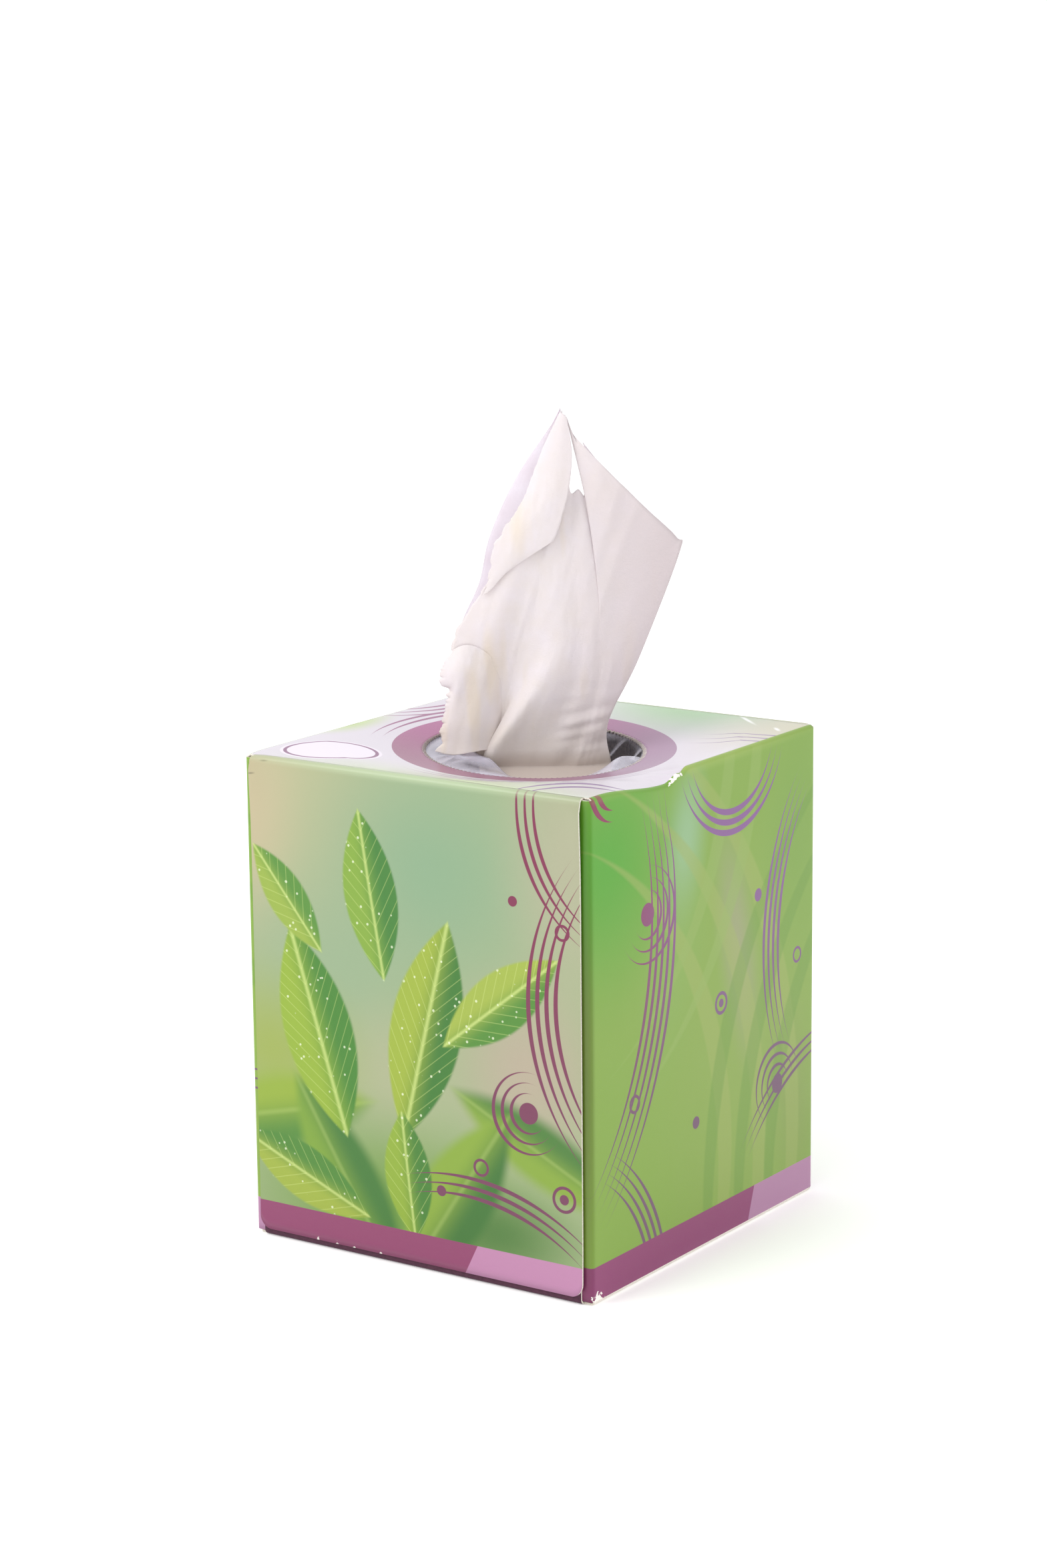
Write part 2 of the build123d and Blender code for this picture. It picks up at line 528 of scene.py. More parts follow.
    def band(self, band: Band) -> None:
        """Prints the band along the foot.

        Args:
            band: its height and its two colours.
        """
        slope = {0: self.up, 1: -band.lean, 2: self.right}
        leaning = add_node(self.tree, "Math", slope, operation="MULTIPLY_ADD")
        dark, light = linear(band.dark), linear(band.light)
        paint = self.blend(leaning, band.slant - self.edge, band.slant + self.edge, dark, light)
        self.cover(self.up, band.top + self.edge, band.top - self.edge, paint)

    def finish(self) -> Material:
        """Adds the worn spots, the varnish and the board's faint waviness.

        Returns:
            The finished material.
        """
        # White core shows in small flecks where the print has cracked or rubbed off
        wear = add_node(self.tree, "Attribute", attribute_name="wear").outputs["Fac"]
        flecks = {"Vector": self.spot, "Scale": 1 / self.fleck, "Detail": 3.0}
        fleck = add_node(self.tree, "TexNoise", flecks).outputs[0]
        worn = add_node(self.tree, "Math", {0: wear, 1: fleck}, operation="ADD")
        self.cover(worn, *self.worn_off, linear(self.core))
        # The varnish follows the laminated board, so its gloss wavers softly
        wave = add_node(self.tree, "TexNoise", {"Vector": self.spot, "Scale": 1 / self.waves, "Detail": 1.0})
        felt = add_node(self.tree, "TexNoise", {"Vector": self.spot, "Scale": 1 / self.felt, "Detail": 2.0})
        relief = add_node(self.tree, "Math", {0: felt, 1: 0.03, 2: wave}, operation="MULTIPLY_ADD")
        lift = add_node(self.tree, "Bump", {"Height": relief, "Strength": 0.35, "Distance": 0.25 * MM})
        spread = {"To Min": self.roughness - self.uneven, "To Max": self.roughness + self.uneven}
        inputs = {
            "Base Color": self.colour,
            "Roughness": add_node(self.tree, "MapRange", {"Value": felt, **spread}),
            "IOR": self.ior,
            "Specular IOR Level": self.specular,
            "Coat Weight": self.coat,
            "Coat Roughness": self.coat_roughness,
            "Normal": lift,
        }
        add_node(self.tree, "OutputMaterial", {0: add_node(self.tree, "BsdfPrincipled", inputs)})
        return self.material


@dataclass(frozen=True)
class EndPrint:
    """The print of an end closure: out-of-focus garden greens, broad leaves and fine plum arcs.

    Attributes:
        washes: the soft fields of colour, from the lowest up.
        leaves: the leaves on them.
        arcs: the families of arcs.
        discs: the dots and rings.
        top_fold_highlight: the pale strip along the top fold, a painted highlight where the fold catches the
            light.
        foot: the band along the foot.
        scuffs: the grey rubs at the top left corner.
        ink: the arcs' colour at the bottom and at the top.
    """

    washes: tuple[Wash, ...] = (
        Wash("#a5a580", (-46, 120), (62, 54)),
        Wash("#b3a586", (-54, 112), (26, 40), strength=0.9),
        Wash("#7d9b7a", (6, 102), (52, 46), strength=0.95),
        Wash("#859d7d", (-24, 74), (42, 34), strength=0.7),
        Wash("#a19f85", (46, 108), (26, 48), strength=0.85),
        Wash("#a79987", (34, 56), (30, 32), strength=0.9),
        Wash("#9fa180", (-6, 50), (26, 24), strength=0.7),
        Wash("#8e9d46", (-44, 50), (38, 30), strength=0.9),
        Wash("#648a34", (-6, 14), (74, 34)),
        Wash("#426d2f", (24, 14), (34, 17), strength=0.9),
    )
    leaves: tuple[Leaf, ...] = (
        Leaf((-42, 34), (34, 13), 14, "#869e33", "#4a7c2e", 0.5),
        Leaf((38, 36), (32, 10), 154, "#7b9835", "#447230", 0.45),
        Leaf((-20, 18), (34, 12), 122, "#719330", "#3a6d2b", 0.35),
        Leaf((12, 20), (32, 12), 56, "#7c9933", "#376929", 0.3),
        Leaf((-29, 57), (28, 11.5), 108, "#86a130", "#3d7727", 0.1),
        Leaf((4, 62), (30, 11), 76, "#8fa235", "#366e27", 0.1),
        Leaf((-12, 94), (22, 8.5), 100, "#779934", "#39732b", 0.1),
        Leaf((26, 72), (22, 8), 38, "#93a540", "#4a7e2c", 0.12),
        Leaf((-38, 90), (17, 6.5), 130, "#8aa13e", "#4e812f", 0.15),
        Leaf((-34, 19), (22, 8), 158, "#90a139", "#467a2c", 0.12),
        Leaf((-2, 24), (17, 7.5), 96, "#829d30", "#3d7329", 0.12),
    )
    arcs: tuple[Arcs, ...] = (
        Arcs((92, 74), 50.0, 2.6, 4, 184, 50, 1.1),
        Arcs((14, -34), 56.0, 2.4, 3, 78, 34, 1.0),
        Arcs((34, 46), 5.0, 2.6, 3, 200, 150, 0.9),
        Arcs((70, 122), 34.0, 2.4, 3, 200, 50, 0.9),
    )
    scuffs: tuple[Wash, ...] = (
        Wash("#5f5a48", (-48.3, 120.5), (1.6, 0.4), 8, 0.6),
        Wash("#5f5a48", (-49.5, 122.8), (0.9, 0.35), 0, 0.5),
        Wash("#6c6a52", (-44.5, 124), (1.8, 0.35), 5, 0.5),
    )
    discs: tuple[Disc, ...] = (
        Disc((34, 46), 2.7),
        Disc((20, 30), 2.3, 1.6),
        Disc((44, 92), 2.1, 1.4),
        Disc((30, 98), 1.3),
        Disc((8, 22), 1.4),
        Disc((44, 26), 3.4, 2.6),
        Disc((44, 26), 1.3),
    )
    top_fold_highlight: Wash = Wash("#b9c7a4", (0, 125.2), (90, 2.6), strength=0.8)
    foot: Band = Band(9.6, 13.6, 0.5, "#853c62", "#b17c9f")
    ink: tuple[str, str] = ("#6d3953", "#772948")

    def make(self, face: Face) -> Material:
        """Prints an end's face.

        Args:
            face: the end that it covers.

        Returns:
            The finished material.
        """
        board = PrintedBoard(f"varnished_end_print_{face.name.lower()}", "#93a079", face)
        for wash in self.washes:
            board.wash(wash)
        for leaf in self.leaves:
            board.leaf(leaf)
        ink = board.blend(board.up, 20.0, 110.0, *(linear(tone) for tone in self.ink))
        for family in self.arcs:
            board.arcs(family, ink)
        for disc in self.discs:
            board.disc(disc, ink)
        # Painted highlight: the pale strip where the top fold catches the light
        board.wash(self.top_fold_highlight)
        board.band(self.foot)
        for scuff in self.scuffs:
            board.wash(scuff)
        return board.finish()


@dataclass(frozen=True)
class SidePrint:
    """The print of a side wall: sweeping bands of green under fine plum arcs.

    Attributes:
        washes: the soft fields of colour, from the lowest up; the third is a painted sheen where the bent
            wall beside the pressed fold catches the light.
        sweeps: the broad soft bands.
        tones: the sRGB colour of each family of bands.
        arcs: the families of arcs.
        discs: the dots and rings.
        top_fold_highlight: the pale strip along the top fold, a painted highlight where the fold catches the
            light.
        foot: the band along the foot.
        fold_shade: the dark fold beside the end's free edge, which lies in its shade.
        ink: the arcs' colour at the bottom, at the top, and at the top by the left corner.
    """

    washes: tuple[Wash, ...] = (
        Wash("#829d41", (20, 40), (70, 74), strength=0.9),
        Wash("#4c9a1a", (-46, 108), (46, 46)),
        # Painted sheen: a hazy mint field where the bent wall beside the pressed fold catches the light
        Wash("#8cb085", (-10.5, 106), (12, 28), -12),
        Wash("#7da149", (-16, 80), (18, 40), -16, 0.6),
        Wash("#729835", (44, 100), (26, 50), strength=0.8),
        Wash("#989578", (14, 76), (12, 44), 12, 0.7),
        Wash("#7c8f44", (42, 30), (16, 40), 10, 0.6),
    )
    sweeps: tuple[Arcs, ...] = (
        Arcs((-92, 20), 100.0, 17.0, 3, 14, 70, 6.0),
        Arcs((118, 10), 88.0, 15.0, 3, 158, 70, 5.0),
        Arcs((-80, 140), 92.0, 13.0, 2, -20, 60, 4.0),
    )
    tones: tuple[str, ...] = ("#93a352", "#628d2a", "#88a44f")
    arcs: tuple[Arcs, ...] = (
        Arcs((-118, 92), 92.0, 2.6, 5, -14, 38, 1.1),
        Arcs((92, 70), 58.0, 2.4, 4, 172, 42, 1.1),
        Arcs((-28, 92), 6.0, 3.0, 3, -30, 140, 0.9),
        Arcs((34, 34), 5.0, 2.8, 3, 120, 140, 0.9),
        Arcs((12, 130), 20.0, 2.6, 3, -90, 84, 1.5),
        Arcs((-70, -8), 44.0, 2.4, 4, 26, 40, 1.0),
        Arcs((66, -20), 60.0, 2.4, 3, 116, 30, 0.9),
        Arcs((-42, 128), 7.5, 2.8, 2, -150, 66, 1.6),
    )
    discs: tuple[Disc, ...] = (
        Disc((-28, 92), 2.9),
        Disc((34, 34), 2.6),
        Disc((6, 62), 3.0, 2.1),
        Disc((6, 62), 1.1),
        Disc((-34, 46), 2.4, 1.6),
        Disc((24, 86), 1.7),
        Disc((44, 66), 2.2, 1.5),
        Disc((-6, 34), 1.6),
    )
    top_fold_highlight: Wash = Wash("#9db45a", (0, 125.5), (90, 3.6), strength=0.7)
    foot: Band = Band(9.6, 19.6, 0.34, "#853265", "#a9799c")
    fold_shade: Wash = Wash("#33291a", (-54, 62), (3.4, 130), strength=0.8)
    ink: tuple[str, str, str] = ("#6a4963", "#7f548a", "#81284e")

    def make(self, face: Face) -> Material:
        """Prints a side wall.

        Args:
            face: the wall that it covers.

        Returns:
            The finished material.
        """
        board = PrintedBoard(f"varnished_side_print_{face.name.lower()}", "#7a9c36", face)
        for wash in self.washes:
            board.wash(wash)
        for sweep, tone in zip(self.sweeps, self.tones):
            board.arcs(sweep, linear(tone), blur=1.2, strength=0.5)
        low, high, cornered = (linear(tone) for tone in self.ink)
        ink = board.blend(board.up, 30.0, 100.0, low, board.blend(board.right, 0.0, -46.0, high, cornered))
        for family in self.arcs:
            board.arcs(family, ink)
        for disc in self.discs:
            board.disc(disc, ink)
        # Painted highlight: the pale strip where the top fold catches the light
        board.wash(self.top_fold_highlight)
        board.band(self.foot)
        board.wash(self.fold_shade)
        return board.finish()


@dataclass(frozen=True)
class TopPrint:
    """The print of the top panel: a plum ring round the opening on very pale lilac.

    Attributes:
        ring: the ring, which runs in past the opening's edge.
        badge: the middle of the pale oval.
        oval: the oval's half-length and half-width.
        badge_turn: its turn in degrees.
        badge_paper: its sRGB colour.
        badge_line: the sRGB colour of its outline.
        washes: the soft fields of colour, and last two painted highlights: the white lines where two creases
            catch the light.
        arcs: the families of arcs.
        ink: the arcs' colour on the left and on the right.
        plum: the ring's colour on the left, on the right and at the front.
    """

    ring: Disc = Disc((0, 0), 36.0, 20.0)
    badge: Pair = (-35.5, -38.0)
    oval: Pair = (11.6, 10.2)
    badge_turn: float = 20.0
    badge_paper: str = "#e9e0ec"
    badge_line: str = "#85527a"
    washes: tuple[Wash, ...] = (
        Wash("#a2c898", (16, 56), (48, 36)),
        Wash("#c9c4aa", (50, 46), (30, 44), strength=0.9),
        Wash("#bfcda4", (12, -58), (72, 31)),
        Wash("#b9cf80", (-52, -8), (10, 20)),
        # Painted highlights: white lines where two creases in the top catch the light
        Wash("#ffffff", (33.5, 48.5), (9, 0.9), -41),
        Wash("#ffffff", (46.4, 41.8), (3.4, 0.9), -46),
    )
    arcs: tuple[Arcs, ...] = (
        Arcs((0, 0), 38.6, 2.6, 2, -58, 60, 1.1),
        Arcs((0, 0), 39.4, 3.2, 2, 160, 50, 1.4),
        Arcs((-66, 30), 22.0, 4.2, 3, 0, 80, 2.0),
        Arcs((50, -56), 16.0, 4.0, 2, 124, 70, 1.6),
        Arcs((30, 116), 84.0, 4.0, 3, -70, 24, 1.2),
    )
    ink: tuple[str, str] = ("#96547f", "#937ba0")
    plum: tuple[str, str, str] = ("#a85c8c", "#a07e9b", "#96607c")

    def make(self) -> Material:
        """Prints the top panel.

        Returns:
            The finished material.
        """
        board = PrintedBoard("varnished_top_print", "#d7d0da")
        for wash in self.washes:
            board.wash(wash)
        ink = board.blend(board.right, -40.0, 40.0, *(linear(tone) for tone in self.ink))
        for family in self.arcs:
            board.arcs(family, ink)
        left, right, front = (linear(tone) for tone in self.plum)
        tint = board.blend(board.right, -30.0, 34.0, left, right)
        board.disc(self.ring, board.blend(board.up, 4.0, -30.0, tint, front))
        badge = board.distance(self.badge, self.oval, self.badge_turn)
        board.cover(badge, 1.12, 1.1, linear(self.badge_paper))
        edge = add_node(board.tree, "Math", {0: badge, 1: 1.0}, operation="SUBTRACT")
        off_line = add_node(board.tree, "Math", {0: edge}, operation="ABSOLUTE")
        board.cover(off_line, 0.05, 0.03, linear(self.badge_line))
        return board.finish()


@dataclass(frozen=True)
class BareBoard:
    """Uncoated recycled cartonboard, pressed from mixed fibre: matt, with faint specks.

    Attributes:
        name: the material's name.
        light: the sRGB colour of its fibre.
        dark: the sRGB colour of its specks.
        fibre: the length of its fibre clumps in millimetres.
    """

    name: str
    light: str
    dark: str
    fibre: float = 0.8
    roughness: float = 0.9

    def make(self) -> Material:
        """Makes the board's material.

        Returns:
            The finished material.
        """
        material, tree = blank(self.name)
        spot = add_node(tree, "TexCoord").outputs["Object"]
        grain = add_node(tree, "TexNoise", {"Vector": spot, "Scale": 1 / (self.fibre * MM), "Detail": 4.0})
        mask = add_node(tree, "MapRange", {"Value": grain, "From Min": 0.35, "From Max": 0.7})
        tones = {0: mask, 6: linear(self.light), 7: linear(self.dark)}
        colour = add_node(tree, "Mix", tones, data_type="RGBA")
        lift = add_node(tree, "Bump", {"Height": grain, "Strength": 0.3, "Distance": 0.1 * MM})
        inputs = {"Base Color": colour.outputs[2], "Roughness": self.roughness, "Normal": lift}
        add_node(tree, "OutputMaterial", {0: add_node(tree, "BsdfPrincipled", inputs)})
        return material


@dataclass(frozen=True)
class Mark:
    """A mark of use that fades out along the carton and across it.

    Attributes:
        peak: its strength from 0 to 1, or its depth in millimetres.
        along: its middle and its reach along a wall or fold, in millimetres.
        across: its middle and its reach the other way.
    """

    peak: float
    along: Pair
    across: Pair = (0.0, 1.0)

    def at(self, along: float, across: float = 0.0) -> float:
        """Gives how much of it a place has."""
        (middle, reach), (level, height) = self.along, self.across
        return self.peak * bump(along - middle, reach) * bump(across - level, height)


@dataclass
class Carton:
    """The folded carton: one sheet of printed board, built as its wrap and its two end closures.

    Attributes:
        board: the board's thickness.
        fold: the outside radius of a fold.
        opening: the radius of the round opening in the top.
        teeth: how many perforation nibs are left round the opening.
        tooth: how far a nib stands in.
        sag: how far the top hangs down at the opening's edge, on average.
        overhang: how far past the walls the slope of the sagging top would run out.
        hollow: the power by which that slope bends.
        low_towards: the direction in degrees in which the top hangs lowest.
        tilt: how much lower it hangs there at the opening's edge, as a share, and how much more
            for each millimetre out.
        flap_inset: from the carton's corner to the outer flap's free edge.
        flap_lift: from the floor to the outer flap's lower edge.
        flap_corner: the radius of the outer flap's lower corners.
        dust_flap: the length of a dust flap.
        end_fold: the outside radius of an outer flap's fold.
        dust_gap: how far a dust flap stops below the top.
        glue_flap: the heights of the glue flap's last two rows.
        inner_inset: from the carton's corner to the inner flap's free edge.
        inner_rise: how far the inner flap reaches up.
        inner_corner: the radius of its upper corners.
        press: how far the fold between the top and the +X wall is pressed down.
        press_front: where along the fold the press begins at the front, and where it is full.
        press_back: where it ends at the back, and where it is still full.
        press_down: how far down the wall it is felt.
        press_side: how far out it begins, as a share of the half-width.
        kink: the short kink of the fold past the press.
        dent: the hollow in the wall under the press, along it and down from the top.
        tired: how far the top's front left corner hangs, from the corner's two walls.
        tired_down: how far down that is felt.
        bowed: how far a side wall and an end flap bow out.
        straight: how far from the floor and the top they are held straight.
        curl_top: how far an end flap's free edge curls out near the top, and over what height.
        curl_foot: the same near the floor.
        curl_width: how wide the curled edge is.
        front_fold: the rubbed fold over the front, from the front and down from the top.
        nicks: the nicked print along the front flap's lower edge, across and up.
        crack: the cracked fold at the press, along it and down from it.
        crack_in: how far in from the wall it reaches.
        corner: the scuffed lower front corner of the +X wall, along it and up.
        corner_in: how far in from the wall it reaches.
        tired_print: the rubbed print at the top's front left corner, from the corner's two walls.
        tired_rub: how far down it reaches.
        nibs: the torn edge of the opening, out from the nibs.
        rings: the shares of the way from the top's fold lines to the opening that get a row.
        fold_steps: steps round a fold.
        wall_rows: rows from the top of a wall to its foot.
    """

    board: float = 0.5
    fold: float = 1.0
    opening: float = 28.4
    teeth: int = 132
    tooth: float = 1.0
    sag: float = 2.75
    overhang: float = 0.6
    hollow: float = 0.9
    low_towards: float = -32.0
    tilt: Pair = (0.6, 0.03)
    flap_inset: float = 2.2
    flap_lift: float = 2.0
    flap_corner: float = 3.5
    dust_flap: float = 46.0
    end_fold: float = 1.3
    dust_gap: float = 0.5
    glue_flap: Pair = (5.0, 14.0)
    inner_inset: float = 3.0
    inner_rise: float = 78.0
    inner_corner: float = 10.0
    press: float = 2.8
    press_front: Pair = (-48.0, -18.0)
    press_back: Pair = (-9.6, -18.6)
    press_down: float = 30.0
    press_side: float = 0.55
    kink: Mark = Mark(1.0, (-11.2, 1.5))
    dent: Mark = Mark(0.5, (-18.0, 7.0), (9.0, 8.0))
    tired: Mark = Mark(0.5, (0.0, 4.0), (0.0, 4.0))
    tired_down: float = 26.0
    bowed: Pair = (0.35, 0.5)
    straight: float = 30.0
    curl_top: Pair = (0.55, 12.0)
    curl_foot: Pair = (0.25, 9.0)
    curl_width: float = 3.0
    front_fold: Mark = Mark(0.3, (0.0, 3.0), (0.0, 0.7))
    nicks: tuple[Mark, ...] = tuple(Mark(0.75, (x, 0.8), (2.0, 0.5)) for x in (-31.1, -24.9, -19.5, -11.1))
    crack: Mark = Mark(0.85, (-14.2, 4.2), (0.4, 0.6))
    crack_in: float = 1.6
    corner: Mark = Mark(0.85, (-50.4, 3.2), (1.6, 2.4))
    corner_in: float = 3.0
    tired_print: Mark = Mark(0.42, (0.0, 3.0), (0.0, 4.0))
    tired_rub: float = 1.5
    nibs: Mark = Mark(0.56, (-0.7, 0.8))
    rings: tuple[float, ...] = (0, 0.05, 0.12, 0.2, 0.3, 0.4, 0.5, 0.6, 0.7, 0.8, 0.88, 0.94, 0.98, 1)
    fold_steps: int = 5
    wall_rows: int = 56

    def __post_init__(self) -> None:
        """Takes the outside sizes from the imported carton."""
        low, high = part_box("carton")
        self.half_width = high[0] / MM
        self.half_depth = high[1] / MM
        self.height = high[2] / MM
        self.tube_half = self.half_depth - 2 * self.board - self.fold
        # As many columns along each of the four edges, so that four of them meet each nib
        self.steps = self.teeth

    def hang(self, x: float, y: float) -> float:
        """Gives how far the top panel hangs below its fold lines at a place.

        Args:
            x: to the right of the axis.
            y: behind the axis.

        Returns:
            The depth in millimetres.
        """
        radius = math.hypot(x, y)
        edge = self.half_width + self.overhang
        if radius >= edge:
            return 0.0
        share = ((edge - radius) / (edge - self.opening)) ** self.hollow
        tilt = self.tilt[0] + self.tilt[1] * (radius - self.opening)
        lean = math.cos(math.atan2(y, x) - math.radians(self.low_towards))
        return self.sag * share * (1 + tilt * lean)

    def pushed_in(self, y: float) -> float:
        """Gives how far the fold between the top and the +X wall is pressed down at a place along it."""
        pressed = smooth(*self.press_front, y) * smooth(*self.press_back, y)
        return self.press * pressed + self.kink.at(y)

    def held(self, z: float) -> float:
        """Gives how free a wall is to bow at a height, from 0 at the floor and the top."""
        return smooth(0.0, self.straight, z) * smooth(0.0, self.straight, self.height - z)

    def worked(self, p: Vector) -> Vector:
        """Adds the use that the board has seen: the pressed fold, bowed walls and a tired corner.

        Args:
            p: a point of the new carton.

        Returns:
            Where it lies on the used one.
        """
        x, y, z = p
        top = self.height - z
        shift = Vector()
        side = smooth(self.press_side * self.half_width, self.half_width, x)
        shift.z -= self.pushed_in(y) * side**3 * smooth(self.press_down, 0.0, top)
        shift.x -= self.dent.at(y, top) * side
        if abs(x) > self.half_width - 2:
            shift.x += math.copysign(self.bowed[0], x) * self.held(z) * (1 - (y / self.half_depth) ** 2)
        tired = self.tired.at(x + self.half_width, y + self.half_depth)
        shift.z -= tired * smooth(self.tired_down, 0.0, top)
        return p + shift

    def wear(self, p: Vector) -> float:
        """Gives how worn the print is at a place, from 0 to 1.

        Args:
            p: a point of the carton.

        Returns:
            The wear there.
        """
        x, y, z = p
        top = self.height - z
        from_left, from_front = x + self.half_width, y + self.half_depth
        worn = self.front_fold.at(from_front, top)
        worn += max(nick.at(x, z) for nick in self.nicks) * (y < 0)
        worn += self.crack.at(y, top - self.pushed_in(y)) * (x > self.half_width - self.crack_in)
        worn += self.corner.at(y, z) * (x > self.half_width - self.corner_in)
        worn += self.tired_print.at(from_left, from_front) * bump(top, self.tired_rub)
        worn += self.nibs.at(math.hypot(x, y) - self.opening)
        return min(worn, 1.0)

    def arc(self, centre: Vector, start: Vector, end: Vector) -> list[Vector]:
        """Gives the points of a quarter fold from one direction to the other."""
        turns = [math.pi / 2 * i / self.fold_steps for i in range(self.fold_steps + 1)]
        return [centre + start * math.cos(t) + end * math.sin(t) for t in turns]

    def top_panel(self) -> Grid:
        """Gives the top panel from its four fold lines to the nibbed edge of the opening.

        Returns:
            The rows, each once round the opening.
        """
        x_edge, y_edge = self.half_width - self.fold, self.tube_half
        corners = [(-x_edge, -y_edge), (x_edge, -y_edge), (x_edge, y_edge), (-x_edge, y_edge)]
        outline: list[Vector] = []
        for (ax, ay), (bx, by) in zip(corners, corners[1:] + corners[:1]):
            for i in range(self.steps):
                t = i / self.steps
                outline.append(Vector((ax + (bx - ax) * t, ay + (by - ay) * t, 0)))
        rows: Grid = []
        for share in self.rings:
            row = []
            for i, rim in enumerate(outline):
                angle = math.radians(-135) + 2 * math.pi * i / len(outline)
                reach = self.opening - (self.tooth if share == 1 and i % 4 == 1 else 0.0)
                hole = Vector((math.cos(angle), math.sin(angle), 0)) * reach
                p = rim.lerp(hole, share)
                p.z = self.height - self.hang(p.x, p.y)
                row.append(p)
            rows.append(row)
        return rows

    def along(self, profile: Sequence[Vector]) -> Grid:
        """Runs a profile in the XZ plane along the tube, one row for each of its points."""
        stops = [-self.tube_half + 2 * self.tube_half * i / self.steps for i in range(self.steps + 1)]
        return [[Vector((p.x, y, p.z)) for y in stops] for p in profile]

    def wall_heights(self) -> list[float]:
        """Gives the heights of the walls' rows between the folds, closer near the top.

        Returns:
            The heights, from the top down.
        """
        low, high = self.fold, self.height - self.fold
        rows = self.wall_rows
        return [high - (high - low) * (i / rows) ** 1.25 for i in range(rows + 1)]

    def wrap(self, materials: dict[str, Material]) -> bpy.types.Object:
        """Builds the top, the side walls, the bottom, the glued seam and the dust flaps.

        Args:
            materials: the carton's materials.

        Returns:
            The wrap as a thin board.
        """
        maker = MeshMaker("carton_wrap")
        maker.grid(self.top_panel(), 0, closed=True)
        x, z, inset = self.half_width, self.height, self.fold
        heights = self.wall_heights()
        up, out = Vector((0, 0, 1)), Vector((1, 0, 0))
        for side, finish in ((1, 1), (-1, 2)):
            top_fold = self.arc(Vector((side * (x - inset), 0, z - inset)), up, out * side)
            maker.grid(self.along(top_fold), finish, flip=side > 0)
            wall = [Vector((side * x, 0, h)) for h in heights]
            maker.grid(self.along(wall), finish, flip=side > 0)
            for end in (-1, 1):
                y = self.tube_half
                corner = Vector((side * (x - inset), end * y, 0))
                turn = self.arc(corner, out * side, Vector((0, end, 0)))
                reach = [side * (x - inset - (self.dust_flap - inset) * i / 6) for i in range(1, 7)]
                turn += [Vector((r, end * (y + inset), 0)) for r in reach]
                rows = [[Vector((p.x, p.y, h)) for p in turn] for h in [z - self.dust_gap] + heights]
                maker.grid(rows, finish, flip=side * end > 0)
        # The bottom runs from the +X wall's fold to the glue flap, which stands up inside the -X wall
        foot = self.arc(Vector((x - inset, 0, inset)), out, -up)
        foot += [Vector((x - inset - (2 * x - 2.5 * inset) * i / 8, 0, 0)) for i in range(1, 9)]
        turn = self.arc(Vector((-x + self.board + inset, 0, inset)), -up, -out)
        foot += turn + [Vector((-x + self.board, 0, h)) for h in self.glue_flap]
        maker.grid(self.along(foot), 3, flip=True)
        maker.points = [self.worked(p) for p in maker.points]
        outer = [materials[k] for k in ("top", "right", "left", "bottom")]
        inner = [materials["inside"]] * 4
        rim = [materials["edge"]] * 4
        piece = maker.build(outer + inner + rim)
        thicken(piece, self.board, inner=4, rim=8)
        return self.marked(piece)

    def closure(self, end: int, materials: dict[str, Material]) -> bpy.types.Object:
        """Builds an outer end flap from its fold at the top edge down to its rounded lower corners.

        Args:
            end: -1 for the flap that faces -Y, 1 for the one that faces +Y.
            materials: the carton's materials.

        Returns:
            The flap as a thin board.
        """
        maker = MeshMaker("carton_end_front" if end < 0 else "carton_end_back")
        half = self.half_width - self.flap_inset
        radius = self.flap_corner
        edge = [half - radius + radius * math.sin(math.pi / 2 * i / 8) for i in range(9)]
        middle = [(half - radius) * i / 44 for i in range(-44, 45)]
        across = sorted({round(v, 4) for v in [-e for e in edge] + middle + edge})
        crest = Vector((0, end * self.tube_half, self.height))
        rows = [[Vector((u, crest.y, crest.z)) for u in across]]
        turn = self.end_fold
        for i in range(2 * self.fold_steps + 1):
            t = math.pi / 2 * i / (2 * self.fold_steps)
            y = end * (self.half_depth - turn * (1 - math.sin(t)))
            rows.append([Vector((u, y, self.height - turn * (1 - math.cos(t)))) for u in across])
        top = self.height - turn
        for i in range(1, self.wall_rows + 1):
            row = []
            for u in across:
                past = max(abs(u) - (half - radius), 0.0)
                low = self.flap_lift + radius - math.sqrt(max(radius**2 - past**2, 0.0))
                share = i / self.wall_rows
                h = top + (low - top) * share
                free = bump(half - abs(u), self.curl_width)
                (high_curl, high_reach), (low_curl, low_reach) = self.curl_top, self.curl_foot
                curl = free * (high_curl * bump(top - h, high_reach) + low_curl * bump(h, low_reach))
                free_middle = smooth(0, self.straight, h) * smooth(0, self.straight, top - h)
                bow = self.bowed[1] * (1 - (u / half) ** 2) * free_middle
                row.append(Vector((u, end * (self.half_depth + curl + bow), h)))
            rows.append(row)
        maker.grid(rows, 0, flip=end < 0)
        maker.points = [self.worked(p) for p in maker.points]
        print_name = "front" if end < 0 else "back"
        piece = maker.build([materials[name] for name in (print_name, "inside", "edge")])
        thicken(piece, self.board, inner=1, rim=2)
        return self.marked(piece)

